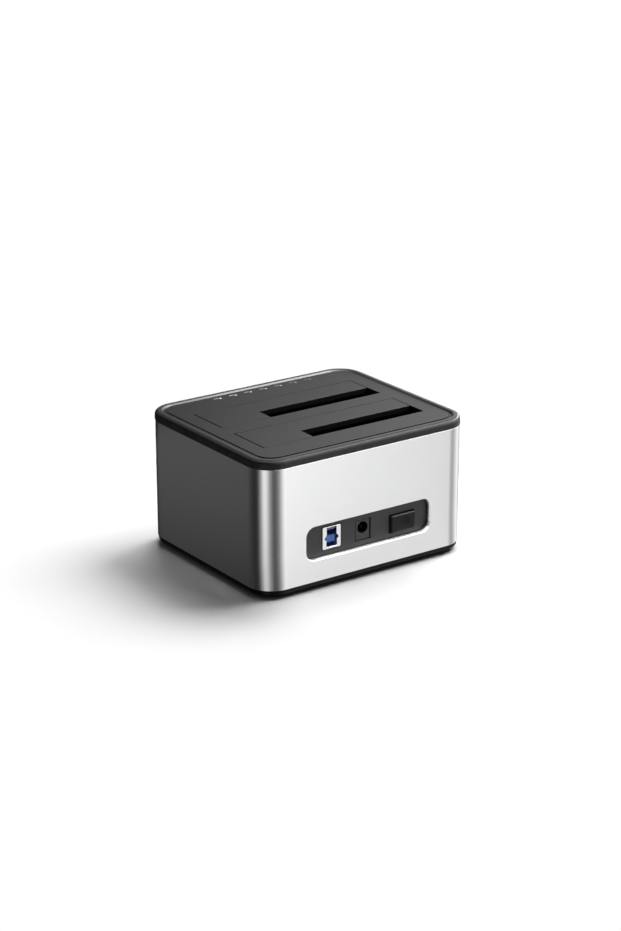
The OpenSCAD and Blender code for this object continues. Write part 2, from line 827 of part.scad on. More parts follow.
module bay_guide(bay) {
    color("#1c1c1e") difference() {
        union() {
            along_x(guide_out_x0, guide_out_x1) guide_outline(bay);
            for (x = leg_x) translate([x, bay_mid(bay), 0]) rod_z(leg_r, base_boss_z, ear_z + ear_t);
            slab(ear_x[0] - ear_r, ear_x[1] + ear_r, bay_mid(bay) - ear_pitch - ear_r,
                bay_mid(bay) + ear_pitch + ear_r, ear_z, ear_z + ear_t);
        }
        along_x(guide_x0, guide_x1) guide_hollow(bay);
        translate([0, hinge_y(bay), hinge_z]) rod_x(guide_out_x0 - over, guide_out_x1 + over, pin_r + seat);
        slab(sata_mid_x - sata_l/2 - port_gap, sata_mid_x + sata_l/2 + port_gap,
            sata_mid_y(bay) - sata_w/2 - port_gap, sata_mid_y(bay) + sata_w/2 + port_gap,
            guide_z - over, guide_top_z + over);
        slab(tab_x - tab_side, tab_x + tab_l + tab_side, guide_rear_y(bay) - eps,
            bay_y1(bay) + tab_reach + fold_clear, plate_z - tab_drop, plate_z + over);
        for (x = leg_x) translate([x, bay_mid(bay), 0])
            rod_z(base_screw_r + seat, base_boss_z - over, base_boss_z + base_bite);
        at_ears(bay) rod_z(small_screw_r + screw_slack, ear_z - over, ear_z + ear_t + over);
    }
}

module cover_screws() {
    length = plate_z - cover_skin - tip_room - ear_z;
    color("#55585c") for (bay = [0, 1]) at_ears(bay) translate([0, 0, ear_z])
        screw(small_screw_r, small_head_r, small_head_h, length);
}

// Main board and what is on it

module main_board() {
    color("#1d3b2a") difference() {
        slab(board_x - board_w/2, board_x + board_w/2, board_y0, board_y1, board_under_z, board_z);
        at_board_holes() rod_z(small_screw_r + screw_slack, board_under_z - over, board_z + over);
    }
}

module board_screws() {
    color("#55585c") at_board_holes() translate([0, 0, board_z]) mirror([0, 0, 1])
        screw(small_screw_r, small_head_r, small_head_h, board_t + board_bite - tip_room);
}

module key_slot(x, length, bay) {
    y = sata_mid_y(bay);
    slab(x, x + length, y - sata_slot_w/2, y + sata_slot_w/2, sata_slot_z, sata_top_z + over);
    slab(x, x + key_l, y - sata_slot_w/2 - key_w, y, sata_slot_z, sata_top_z + over);
}

module drive_connector(bay) {
    color("#111111") difference() {
        post(sata_mid_x, sata_mid_y(bay), sata_l, sata_w, board_z, sata_top_z);
        key_slot(data_slot_x, data_slot_l, bay);
        key_slot(power_slot_x, power_slot_l, bay);
    }
}

module contact_row(x, length, count, bay) {
    y = sata_mid_y(bay) + sata_slot_w/2;
    first = x + length/2 - (count - 1)*sata_pitch/2;
    for (i = [0:count - 1])
        translate([first + i*sata_pitch, 0, sata_slot_z])
            slab(-contact_w/2, contact_w/2, y - contact_t, y, 0, contact_h);
}

module drive_contacts(bay) {
    color("#c9a84c") {
        contact_row(data_slot_x, data_slot_l, data_pins, bay);
        contact_row(power_slot_x, power_slot_l, power_pins, bay);
    }
}

module bridge_chip() {
    color("#202022") post(chip_x, chip_y, chip_w, chip_w, board_z, board_z + chip_h);
}

module power_coils() {
    x = board_x + board_w/2 - coil_right;
    y = board_y1 - coil_rear - coil_pitch;
    color("#3a3a3c") for (shift = [0, coil_pitch])
        post(x - shift, y + shift, coil_w, coil_w, board_z, board_z + coil_h);
}

module capacitors() {
    color("#30343a") for (x = capacitor_x)
        translate([x, board_y1 - capacitor_inset - capacitor_r, 0])
            rod_z(capacitor_r, board_z, board_z + capacitor_h);
}

// Rear panel and its sockets

module panel_hole(x, w, z, h, gap) {
    post(x, (panel_y + panel_back_y)/2, w + 2*gap, panel_t + 2*over, z - h/2 - gap, z + h/2 + gap);
}

module rear_panel() {
    x0 = cut_x - cut_w/2 - panel_margin;
    x1 = cut_x + cut_w/2 + panel_margin;
    color("#2b2b2d") difference() {
        union() {
            slab(x0, x1, panel_back_y, panel_y, lip_z, cut_z0 + cut_h + panel_margin);
            for (x = panel_tab_x)
                slab(x - panel_tab/2, x + panel_tab/2, panel_back_y - panel_tab, panel_back_y + eps,
                    panel_tab_z, panel_tab_z + panel_tab_t);
        }
        panel_hole(usb_x, usb_w, board_z + usb_h/2, usb_h, port_gap);
        panel_hole(jack_x, jack_w, board_z + jack_h/2, jack_h, port_gap);
        panel_hole(button_x, button_w, button_z, button_h, button_gap);
        at_panel_tabs()
            rod_z(small_screw_r + screw_slack, panel_tab_z - over, panel_tab_z + panel_tab_t + over);
    }
}

module panel_screws() {
    color("#55585c") at_panel_tabs()
        translate([0, 0, panel_tab_z + panel_tab_t]) mirror([0, 0, 1])
            screw(small_screw_r, small_head_r, small_head_h, panel_tab_t + board_bite - tip_room);
}

module usb_key(clear) {
    translate([usb_x, board_z]) polygon([
        [-usb_wide/2 + clear, usb_low_z + clear], [usb_wide/2 - clear, usb_low_z + clear],
        [usb_wide/2 - clear, usb_wide_z], [usb_narrow/2 - clear, usb_neck_z],
        [usb_narrow/2 - clear, usb_high_z - clear], [-usb_narrow/2 + clear, usb_high_z - clear],
        [-usb_narrow/2 + clear, usb_neck_z], [-usb_wide/2 + clear, usb_wide_z]
    ]);
}

module usb_shell() {
    color("#d8dadc") difference() {
        along_y(usb_front_y - usb_depth, usb_front_y)
            translate([usb_x, board_z + usb_h/2]) rounded_rect(usb_w, usb_h, usb_round);
        along_y(usb_front_y - usb_depth - over, usb_front_y + over) usb_key(0);
    }
}

module usb_insulator() {
    front = usb_front_y - tongue_back;
    back = usb_front_y - usb_cavity;
    color("#2f5fb3") {
        along_y(usb_front_y - usb_depth, back) usb_key(seat);
        slab(usb_x - low_tongue_w/2, usb_x + low_tongue_w/2, back - eps, front,
            board_z + low_tongue_z, board_z + low_tongue_z + low_tongue_h);
        slab(usb_x - high_tongue_w/2, usb_x + high_tongue_w/2, back - eps, front,
            board_z + high_tongue_z, board_z + high_tongue_z + high_tongue_h);
    }
}

module usb_contacts() {
    length = usb_cavity - tongue_back - usb_leaf_back;
    y = usb_front_y - usb_cavity + length/2;
    low_z = board_z + low_tongue_z;
    high_z = board_z + high_tongue_z;
    color("#c9a84c") {
        for (side = [-0.5, 0.5], z = [low_z - usb_leaf_t, low_z + low_tongue_h])
            post(usb_x + side*usb_leaf_pitch, y, usb_leaf_w, length, z, z + usb_leaf_t);
        for (i = [-2:2])
            post(usb_x + i*fast_leaf_pitch, y, fast_leaf_w, length, high_z - usb_leaf_t, high_z);
    }
}

module power_jack() {
    color("#18181a") difference() {
        post(jack_x, jack_front_y - jack_depth/2, jack_w, jack_depth, board_z, board_z + jack_h);
        translate([jack_x, jack_front_y + over, board_z + jack_rise])
            rotate([90, 0, 0]) cylinder(r = jack_bore_r, h = jack_bore_depth + over);
        translate([jack_x, jack_front_y, board_z + jack_rise])
            rotate([90, 0, 0]) cylinder(r = jack_pin_r + seat, h = jack_depth - jack_back_wall);
    }
}

module power_jack_pin() {
    y = jack_front_y - jack_pin_back;
    r = jack_pin_r;
    length = jack_depth - jack_back_wall - jack_pin_back;
    color("#c8cacc") translate([jack_x, y, board_z + jack_rise]) rotate([90, 0, 0])
        rotate_extrude()
            polygon([[0, 0], [r - jack_pin_tip, 0], [r, jack_pin_tip], [r, length], [0, length]]);
}

module power_switch() {
    hole = stem_w/2 + slip;
    color("#d8d8d4") difference() {
        post(button_x, switch_front_y - switch_depth/2, switch_w, switch_depth,
            board_z, button_z + button_rise);
        slab(button_x - hole, button_x + hole, switch_front_y - switch_hole, switch_front_y + over,
            button_z - hole, button_z + hole);
    }
}

module power_button() {
    flange_y = panel_back_y - rest_gap - button_flange_t;
    flange_w = button_w + 2*button_flange;
    flange_h = button_h + 2*button_flange;
    edge = button_edge;
    color("#2b2b2d") translate([button_x, 0, button_z]) {
        slab(-button_w/2, button_w/2, flange_y, button_front_y - edge, -button_h/2, button_h/2);
        along_y(button_front_y - edge - eps, button_front_y)
            rounded_rect(button_w - 2*edge, button_h - 2*edge, edge);
        slab(-flange_w/2, flange_w/2, flange_y, flange_y + button_flange_t, -flange_h/2, flange_h/2);
        slab(-stem_w/2, stem_w/2, switch_front_y - switch_hole + button_travel + stem_room, flange_y + eps,
            -stem_w/2, stem_w/2);
    }
}

// Status lights and their ribbon

module light_board() {
    color("#1d3b2a") difference() {
        post(light_x, light_y, light_board_l, light_board_w, light_board_z, light_board_z + light_board_t);
        at_light_screws()
            rod_z(small_screw_r + screw_slack, light_board_z - over, light_board_z + light_board_t + over);
    }
}

module light_emitters() {
    color("#f2efe2") at_lights()
        translate([0, 0, light_board_z + light_board_t]) post(0, 0, emitter_l, emitter_w, 0, emitter_h);
}

module light_pipe(i) {
    z = light_board_z + light_board_t + emitter_h + rest_gap;
    color("#e9eef2") translate([light_mid_x(i), light_y, 0]) {
        rod_z(light_body_r, z, plate_z);
        rod_z(light_r, plate_z - eps, plate_top_z);
    }
}

module light_board_screws() {
    length = plate_z - cover_skin - tip_room - light_board_z;
    color("#55585c") at_light_screws() translate([0, 0, light_board_z])
        screw(small_screw_r, small_head_r, small_head_h, length);
}

module cable_headers() {
    color("#e4e0d2") {
        post(ribbon_x, ribbon_y, header_l, header_w, light_board_z - header_h, light_board_z);
        post(ribbon_x, board_y0 + header_w/2, header_l, header_w, board_z, board_z + header_h);
    }
}

module light_cable() {
    top = light_board_z - header_h;
    bend_y = ribbon_y + ribbon_bend;
    bend_z = ribbon_z + ribbon_bend;
    color("#8c8f94") along_x(ribbon_x - ribbon_w/2, ribbon_x + ribbon_w/2) {
        translate([ribbon_y - ribbon_t/2, bend_z]) square([ribbon_t, top - bend_z]);
        translate([bend_y, ribbon_z - ribbon_t/2]) square([board_y0 - bend_y, ribbon_t]);
        translate([bend_y, bend_z]) intersection() {
            difference() {
                circle(ribbon_bend + ribbon_t/2);
                circle(ribbon_bend - ribbon_t/2);
            }
            translate([-2*ribbon_bend, -2*ribbon_bend]) square(2*ribbon_bend);
        }
    }
}

base_cover();
for (i = [1:4]) rubber_foot(i);
aluminium_sleeve();
top_cover();
top_plate();
flap(0);  // front_flap
flap(1);  // rear_flap
hinge_pin(0);  // front_hinge_pin
hinge_pin(1);  // rear_hinge_pin
flap_spring(0);  // front_flap_spring
flap_spring(1);  // rear_flap_spring
bay_guide(0);  // front_bay_guide
bay_guide(1);  // rear_bay_guide
main_board();
drive_connector(0);  // front_drive_connector
drive_connector(1);  // rear_drive_connector
drive_contacts(0);  // front_drive_contacts
drive_contacts(1);  // rear_drive_contacts
bridge_chip();
power_coils();
capacitors();
rear_panel();
usb_shell();
usb_insulator();
usb_contacts();
power_jack();
power_jack_pin();
power_switch();
power_button();
light_board();
light_emitters();
for (i = [1:light_count]) light_pipe(i);
cable_headers();
light_cable();
base_screws();
cover_screws();
board_screws();
panel_screws();
light_board_screws();
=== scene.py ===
"""Dresses the drive docking station: every surface in view gets its form and finish.

The pieces' sizes are in millimetres. The finishes' sizes are in metres, as Object coordinates are.
"""
import json
import logging
import math
from collections.abc import Callable, Iterator, Sequence
from contextlib import contextmanager
from dataclasses import dataclass
from enum import Enum
from typing import ClassVar

import bmesh
import bpy
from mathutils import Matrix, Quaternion, Vector


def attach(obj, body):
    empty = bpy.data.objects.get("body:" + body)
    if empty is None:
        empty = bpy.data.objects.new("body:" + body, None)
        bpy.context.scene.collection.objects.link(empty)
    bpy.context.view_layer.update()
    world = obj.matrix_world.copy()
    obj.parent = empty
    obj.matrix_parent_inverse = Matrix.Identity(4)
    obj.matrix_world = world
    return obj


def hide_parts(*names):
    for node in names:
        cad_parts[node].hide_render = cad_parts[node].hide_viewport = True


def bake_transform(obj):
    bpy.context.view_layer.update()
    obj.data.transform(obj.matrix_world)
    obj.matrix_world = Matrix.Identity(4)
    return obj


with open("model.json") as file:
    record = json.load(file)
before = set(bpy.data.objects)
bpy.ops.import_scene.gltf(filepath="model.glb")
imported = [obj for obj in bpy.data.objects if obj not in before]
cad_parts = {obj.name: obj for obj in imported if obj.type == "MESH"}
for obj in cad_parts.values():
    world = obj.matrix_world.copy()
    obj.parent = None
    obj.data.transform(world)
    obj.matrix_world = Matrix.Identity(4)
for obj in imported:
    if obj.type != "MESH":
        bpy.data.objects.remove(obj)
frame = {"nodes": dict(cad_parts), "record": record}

LOG = logging.getLogger("docking_station")
MM = 0.001
STATION = "station"

# Shares of a direction along an axis: it runs along the axis, nearly along it, or rather across it
SQUARE = 0.99
NEARLY = 0.97
ACROSS = 0.3

# Slacks in telling faces and edges by their place
HAIR = 0.01
CLOSE = 0.05
TOUCH = 0.1

# How far a cutting form reaches past the face that it cuts
PROUD = 1.0

Colour = tuple[float, float, float]
Point = tuple[float, float, float]
Span = tuple[float, float]
Row = tuple[float, float, float, float, float]
Lit = list[list[tuple[Vector, float]]]
Test = Callable[[Vector, Vector], bool]


class Axis(Enum):
    """The three axes of the frame."""

    X = 0
    Y = 1
    Z = 2


class Element(Enum):
    """What a modelling step takes hold of."""

    EDGE = "EDGE"
    FACE = "FACE"


class Bay(Enum):
    """The two drive bays."""

    FRONT = "front"
    REAR = "rear"


class Signal:
    """A shader output that Python expressions can be written with."""

    def __init__(self, graph: "Graph", socket: bpy.types.NodeSocket | None) -> None:
        """Keeps the socket and the graph that it belongs to."""
        self.graph = graph
        self.socket = socket

    def beside(self, output: int | str) -> "Signal":
        """Another output of the same node."""
        return Signal(self.graph, self.socket.node.outputs[output])

    def _math(self, operation: str, left: "Signal | float", right: "Signal | float" = 0.0) -> "Signal":
        """Adds a Math node on two operands."""
        return self.graph.node("ShaderNodeMath", {"operation": operation}, {0: left, 1: right})

    def __add__(self, other: "Signal | float") -> "Signal":
        """Sum."""
        return self._math("ADD", self, other)

    def __radd__(self, other: float) -> "Signal":
        """Sum with a number in front."""
        return self._math("ADD", other, self)

    def __sub__(self, other: "Signal | float") -> "Signal":
        """Difference."""
        return self._math("SUBTRACT", self, other)

    def __rsub__(self, other: float) -> "Signal":
        """Difference from a number."""
        return self._math("SUBTRACT", other, self)

    def __mul__(self, other: "Signal | float") -> "Signal":
        """Product."""
        return self._math("MULTIPLY", self, other)

    def __rmul__(self, other: float) -> "Signal":
        """Product with a number in front."""
        return self._math("MULTIPLY", other, self)

    def __lt__(self, other: "Signal | float") -> "Signal":
        """1 where this is less, otherwise 0."""
        return self._math("LESS_THAN", self, other)

    def __gt__(self, other: "Signal | float") -> "Signal":
        """1 where this is greater, otherwise 0."""
        return self._math("GREATER_THAN", self, other)

    def __abs__(self) -> "Signal":
        """Size without its sign."""
        return self._math("ABSOLUTE", self)


class Graph:
    """The node tree of one material or of the world."""

    LAYER_SHARE: ClassVar[float] = 0.55
    MIX_FIRST: ClassVar[int] = 6
    MIX_SECOND: ClassVar[int] = 7
    MIX_RESULT: ClassVar[int] = 2

    def __init__(self, tree: bpy.types.NodeTree) -> None:
        """Empties the tree."""
        self.tree = tree
        tree.nodes.clear()

    def node(
        self, kind: str, settings: dict | None = None, inputs: dict | None = None, output: int | str = 0
    ) -> Signal:
        """Adds a node.

        Args:
            kind: The node's type.
            settings: Its properties, set first.
            inputs: Values or signals of its sockets, by name or number.
            output: The output that is handed back.

        Returns:
            The chosen output.
        """
        made = self.tree.nodes.new(kind)
        for name, value in (settings or {}).items():
            setattr(made, name, value)
        for key, value in (inputs or {}).items():
            socket = made.inputs[key]
            if isinstance(value, Signal):
                self.tree.links.new(value.socket, socket)
            elif socket.type == "RGBA":
                socket.default_value = (*value, 1.0)
            else:
                socket.default_value = value
        return Signal(self, made.outputs[output] if made.outputs else None)

    def place(self) -> Signal:
        """Object coordinates, which are metres in the frame."""
        return self.node("ShaderNodeTexCoord", output="Object")

    def parts(self, vector: Signal) -> tuple[Signal, Signal, Signal]:
        """Splits a vector into its three values."""
        x = self.node("ShaderNodeSeparateXYZ", {}, {"Vector": vector})
        return x, x.beside(1), x.beside(2)

    def stretched(self, vector: Signal, factors: Point) -> Signal:
        """Multiplies a vector by a factor along each axis."""
        return self.node("ShaderNodeVectorMath", {"operation": "MULTIPLY"}, {0: vector, 1: factors})

    def noise(self, vector: Signal, size: float, detail: float = 2.0) -> Signal:
        """Noise about 0.5, with grains of the given size and finer layers."""
        sockets = {"Vector": vector, "Scale": 1/size, "Detail": detail, "Roughness": self.LAYER_SHARE}
        return self.node("ShaderNodeTexNoise", {"noise_dimensions": "3D"}, sockets, "Fac")

    def blend(self, first: "Signal | Colour", second: "Signal | Colour", factor: Signal) -> Signal:
        """Mixes two colours by the share of the second."""
        sockets = {0: factor, self.MIX_FIRST: first, self.MIX_SECOND: second}
        return self.node("ShaderNodeMix", {"data_type": "RGBA"}, sockets, self.MIX_RESULT)

    def bump(self, height: Signal, strength: float, distance: float) -> Signal:
        """Turns a height into a normal."""
        return self.node("ShaderNodeBump", {}, {"Strength": strength, "Distance": distance, "Height": height})

    def rise(self, value: Signal, low: float, high: float) -> Signal:
        """Rises from 0 to 1 while a value goes from low to high."""
        return self.node("ShaderNodeMapRange", {"clamp": True}, {0: value, 1: low, 2: high})

    def principled(self, sockets: dict) -> Signal:
        """Adds the shader of a solid surface."""
        return self.node("ShaderNodeBsdfPrincipled", {}, sockets)


def shade(colour: Colour, factor: float, lift: float = 0.0) -> Colour:
    """A colour made paler or darker, at most white."""
    return tuple(min(1.0, channel*factor + lift) for channel in colour)


class Finish:
    """A finish that becomes one material."""

    def paint(self, name: str) -> bpy.types.Material:
        """Makes the material.

        Args:
            name: The material's name.

        Returns:
            The material.
        """
        material = bpy.data.materials.new(name)
        material.use_nodes = True
        graph = Graph(material.node_tree)
        graph.node("ShaderNodeOutputMaterial", {}, {"Surface": self.surface(graph)})
        return material

    def surface(self, graph: Graph) -> Signal:
        """Shader of the finish."""
        raise NotImplementedError


@dataclass(frozen=True)
class Moulded(Finish):
    """Moulded plastic with a fine spark-eroded grain."""

    colour: Colour
    roughness: float
    grain: float = 0.35*MM
    depth: float = 0.12
    mottle: float = 0.10
    specular: float = 0.5
    # Sizes of the uneven and the worn patches, in grains
    patch: float = 60.0
    wear: float = 40.0
    # Shares of the roughness that the grain and the wear change
    grain_share: float = 0.25
    wear_share: float = 0.2
    relief: float = 0.3
    lift: float = 0.001

    def tone(self, graph: Graph, place: Signal) -> Signal:
        """Base colour, a little uneven over the surface.

        Args:
            graph: The material's nodes.
            place: Object coordinates.

        Returns:
            The colour.
        """
        pale = shade(self.colour, 1 + 2*self.mottle, self.lift)
        dark = shade(self.colour, 1 - 2*self.mottle)
        return graph.blend(dark, pale, graph.noise(place, self.patch*self.grain, detail=3.0))

    def surface(self, graph: Graph) -> Signal:
        """Shader of the plastic.

        Args:
            graph: The material's nodes.

        Returns:
            The shader.
        """
        place = graph.place()
        fine = graph.noise(place, self.grain)
        worn = graph.noise(place, self.wear*self.grain, detail=4.0)
        fine_play = (fine - 0.5)*(self.grain_share*self.roughness)
        worn_play = (worn - 0.5)*(self.wear_share*self.roughness)
        return graph.principled({
            "Base Color": self.tone(graph, place),
            "Roughness": self.roughness + fine_play + worn_play,
            "Specular IOR Level": self.specular,
            "Normal": graph.bump(fine, self.depth, self.relief*self.grain),
        })


@dataclass(frozen=True)
class PrintedPlate(Moulded):
    """The plate's plastic with a small printed dash beside each status light, painted fainter towards -x as
    painted shade.
    """

    ink: Colour = (0.70, 0.70, 0.71)
    pitch: float = 10*MM
    first: float = -36*MM
    last: float = 24*MM
    row: float = -48.9*MM
    face: float = 75.1*MM
    shift: float = 2.3*MM
    length: float = 2.8*MM
    width: float = 0.8*MM
    flake: float = 0.5*MM
    flaked: float = 0.3

    def tone(self, graph: Graph, place: Signal) -> Signal:
        """Plastic with the printed dashes on it.

        Args:
            graph: The material's nodes.
            place: Object coordinates.

        Returns:
            The colour.
        """
        x, y, z = graph.parts(place)
        along = x - (self.first + self.shift - self.pitch/2)
        step = graph.node("ShaderNodeMath", {"operation": "WRAP"}, {0: along, 1: self.pitch, 2: 0.0})
        dash = abs(step - self.pitch/2) < self.length/2
        inside = (along > 0.0)*(along < self.last - self.first + self.pitch)
        ink = dash*inside*(abs(y - self.row) < self.width/2)*(z > self.face)
        worn = ink*(graph.noise(place, self.flake) > self.flaked)
        # Painted shade: the dashes fade towards -x
        bright = graph.rise(x, self.first - self.pitch, self.last)
        return graph.blend(super().tone(graph, place), self.ink, worn*bright)


@dataclass(frozen=True)
class Metal(Finish):
    """Bare, plated or anodised metal with fine lines along one direction."""

    colour: Colour
    roughness: float
    grain: float = 0.2*MM
    along: Point = (1.0, 1.0, 1.0)
    depth: float = 0.05
    stain: float = 0.03
    vary: float = 0.25
    # Size of the stained patches, in grains
    patch: float = 100.0
    relief: float = 0.1

    def surface(self, graph: Graph) -> Signal:
        """Shader of the metal.

        Args:
            graph: The material's nodes.

        Returns:
            The shader.
        """
        place = graph.place()
        lines = graph.noise(graph.stretched(place, self.along), self.grain, detail=3.0)
        broad = graph.noise(place, self.patch*self.grain, detail=3.0)
        pale, dark = shade(self.colour, 1 + self.stain), shade(self.colour, 1 - self.stain)
        return graph.principled({
            "Base Color": graph.blend(dark, pale, broad),
            "Metallic": 1.0,
            "Roughness": self.roughness*(1 + (lines + broad - 1.0)*self.vary),
            "Normal": graph.bump(lines, self.depth, self.relief*self.grain),
        })


@dataclass(frozen=True)
class Lacquer(Finish):
    """Board lacquer over copper tracks."""

    colour: Colour
    track: Colour
    pitch: float = 1.6*MM
    # Cells to a pitch, how far they stray, and the half width of a track in cells
    cells: float = 0.35
    stray: float = 0.4
    half_track: float = 0.09
    roughness: float = 0.32
    vary: float = 0.12
    depth: float = 0.2
    relief: float = 0.03*MM

    def surface(self, graph: Graph) -> Signal:
        """Shader of the lacquered board.

        Args:
            graph: The material's nodes.

        Returns:
            The shader.
        """
        place = graph.place()
        sockets = {"Vector": place, "Scale": self.cells/self.pitch, "Randomness": self.stray}
        feature = {"feature": "DISTANCE_TO_EDGE"}
        track = graph.node("ShaderNodeTexVoronoi", feature, sockets, "Distance") < self.half_track
        return graph.principled({
            "Base Color": graph.blend(self.colour, self.track, track),
            "Roughness": self.roughness + graph.noise(place, self.pitch)*self.vary,
            "Normal": graph.bump(track, self.depth, self.relief),
        })


@dataclass(frozen=True)
class ClearTip(Finish):
    """Clear light pipe, bright at its end: a painted glow that fades into painted shade towards -x."""

    colour: Colour
    dim: Colour
    # Painted glow, and the x where the tips are dark with painted shade and where they are fully lit
    painted_glow: float = 0.45
    painted_shade_x: float = -50*MM
    painted_light_x: float = 20*MM
    cloud: float = 0.4*MM
    haze: float = 0.2
    roughness: float = 0.16
    vary: float = 0.1
    coat: float = 0.3

    def surface(self, graph: Graph) -> Signal:
        """Shader of the light pipe.

        Args:
            graph: The material's nodes.

        Returns:
            The shader.
        """
        place = graph.place()
        cloud = graph.noise(place, self.cloud)
        # Painted light and shade: the tips go from the dim colour at -x to their bright colour and glow at +x
        lit = graph.rise(graph.parts(place)[0], self.painted_shade_x, self.painted_light_x)
        tone = graph.blend(self.dim, self.colour, lit)
        return graph.principled({
            "Base Color": graph.blend(tone, self.dim, cloud*self.haze),
            "Roughness": self.roughness + cloud*self.vary,
            "Coat Weight": self.coat,
            "Emission Color": tone,
            "Emission Strength": self.painted_glow,
        })


@dataclass(frozen=True)
class Card(Finish):
    """A lit card, whose own level at each point is brought to a common strength."""

    LEVEL: ClassVar[str] = "level"
    strength: float = 1.0

    def surface(self, graph: Graph) -> Signal:
        """Shader of the card."""
        level = graph.node("ShaderNodeAttribute", {"attribute_name": self.LEVEL}, output="Fac")
        return graph.node("ShaderNodeEmission", {}, {"Color": level, "Strength": self.strength})


@dataclass(frozen=True)
class Paper(Finish):
    """Matt white paper under the dock."""

    tone: float

    def surface(self, graph: Graph) -> Signal:
        """Shader of the paper."""
        return graph.node("ShaderNodeBsdfDiffuse", {}, {"Color": (self.tone,)*3})


FINISHES: dict[str, Finish] = {
    "base_black": Moulded((0.004, 0.004, 0.0041), 0.34, 0.3*MM, 0.06, specular=0.15),
    "foot_rubber": Moulded((0.014, 0.014, 0.014), 0.85, 0.5*MM, 0.3, 0.2),
    "sleeve_aluminium": Metal((0.86, 0.862, 0.866), 0.2, 0.1*MM, (1.0, 1.0, 0.02), 0.006, 0.01, 0.1),
    "cut_aluminium": Metal((0.93, 0.932, 0.935), 0.42, 0.15*MM, (1.0, 0.05, 1.0), 0.03, 0.02),
    "rim_black": Moulded((0.012, 0.012, 0.0122), 0.40, 0.4*MM, 0.02, 0.08, 0.26),
    # The rim's flat and inner slope: lighter copies of rim_black as painted sheen and painted highlight; the
    # slope is also glossier
    "flat_painted_sheen": Moulded((0.045, 0.045, 0.0454), 0.3, 0.4*MM, 0.02, 0.08),
    "slope_painted_highlight": Moulded((0.048, 0.048, 0.0485), 0.13, 0.4*MM, 0.02, 0.08),
    "plate_grey": PrintedPlate((0.0155, 0.0155, 0.0158), 0.44, 0.32*MM, 0.14, 0.06, 0.45),
    "flap_grey": Moulded((0.0155, 0.0155, 0.0158), 0.44, 0.32*MM, 0.14, 0.06, 0.45),
    "hinge_steel": Metal((0.62, 0.62, 0.63), 0.28, 0.1*MM, (0.05, 1.0, 1.0)),
    "spring_steel": Metal((0.60, 0.61, 0.62), 0.25, 0.08*MM),
    "guide_black": Moulded((0.002, 0.002, 0.002), 0.6, 0.4*MM, 0.14, specular=0.06),
    # Near black, also painted as shade on the plate's walls, the flaps' sides and underside, and the power
    # socket's bore
    "bay_black": Moulded((0.0015, 0.0015, 0.0015), 0.6, 0.32*MM, 0.14, specular=0.05),
    "board_green": Lacquer((0.012, 0.060, 0.030), (0.030, 0.120, 0.055)),
    "connector_black": Moulded((0.016, 0.016, 0.016), 0.5, 0.3*MM),
    "contact_gold": Metal((0.86, 0.64, 0.27), 0.22, 0.08*MM),
    # Painted shade: the data socket's contacts get a dark blue-grey metal in place of their gold
    "contact_shade": Metal((0.060, 0.070, 0.120), 0.4, 0.08*MM),
    "chip_black": Moulded((0.022, 0.022, 0.024), 0.6, 0.15*MM, 0.2),
    "coil_grey": Moulded((0.060, 0.060, 0.063), 0.62, 0.3*MM, 0.3),
    "can_black": Moulded((0.028, 0.032, 0.042), 0.3, 0.4*MM, 0.05),
    "panel_black": Moulded((0.019, 0.019, 0.0193), 0.5, 0.32*MM, 0.14, 0.06, 0.4),
    "socket_metal": Metal((0.86, 0.865, 0.87), 0.2, 0.1*MM, (1.0, 0.08, 1.0)),
    "socket_blue": Moulded((0.045, 0.140, 0.520), 0.38, 0.3*MM, 0.06, 0.05),
    # Painted shade: a greyer violet copy of socket_blue on the upper tongue
    "tongue_painted_shade": Moulded((0.120, 0.120, 0.240), 0.45, 0.3*MM, 0.06, 0.05),
    "jack_black": Moulded((0.020, 0.020, 0.0203), 0.48, 0.3*MM, specular=0.4),
    # Painted shade: the pin deep in the bore gets a near black metal
    "jack_pin_metal": Metal((0.006, 0.006, 0.0065), 0.5, 0.08*MM, (1.0, 0.1, 1.0)),
    "switch_white": Moulded((0.70, 0.70, 0.67), 0.5, 0.4*MM, 0.08, 0.03),
    "button_black": Moulded((0.009, 0.009, 0.0092), 0.46, 0.32*MM, 0.12, 0.06, 0.15),
    # Painted shade: a slightly darker copy of button_black in the button's dish
    "dish_painted_shade": Moulded((0.008, 0.008, 0.0082), 0.5, 0.32*MM, 0.2, 0.06, 0.12),
    # Painted highlight: a lighter copy of button_black along the top edge of the button's face, also glossier
    "button_painted_highlight": Moulded((0.014, 0.014, 0.0142), 0.36, 0.32*MM, 0.05, 0.06, 0.3),
    "emitter_cream": Moulded((0.86, 0.84, 0.74), 0.45, 0.2*MM, 0.05, 0.02),
    "pipe_clear": ClearTip((0.92, 0.94, 0.96), (0.05, 0.05, 0.05)),
    "header_cream": Moulded((0.76, 0.72, 0.62), 0.5, 0.4*MM, 0.08, 0.03),
    "ribbon_grey": Moulded((0.26, 0.27, 0.29), 0.55, 0.4*MM, 0.1, 0.05),
    "screw_steel": Metal((0.36, 0.37, 0.38), 0.32, 0.1*MM),
}


class Palette:
    """Paints each finish once."""

    def __init__(self) -> None:
        """Starts with no material."""
        self.made: dict[str, bpy.types.Material] = {}

    def pick(self, *names: str) -> list[bpy.types.Material]:
        """Materials of finishes, each made on first use.

        Args:
            names: The finishes' names.

        Returns:
            Their materials.
        """
        for name in names:
            if name not in self.made:
                self.made[name] = FINISHES[name].paint(name)
        return [self.made[name] for name in names]


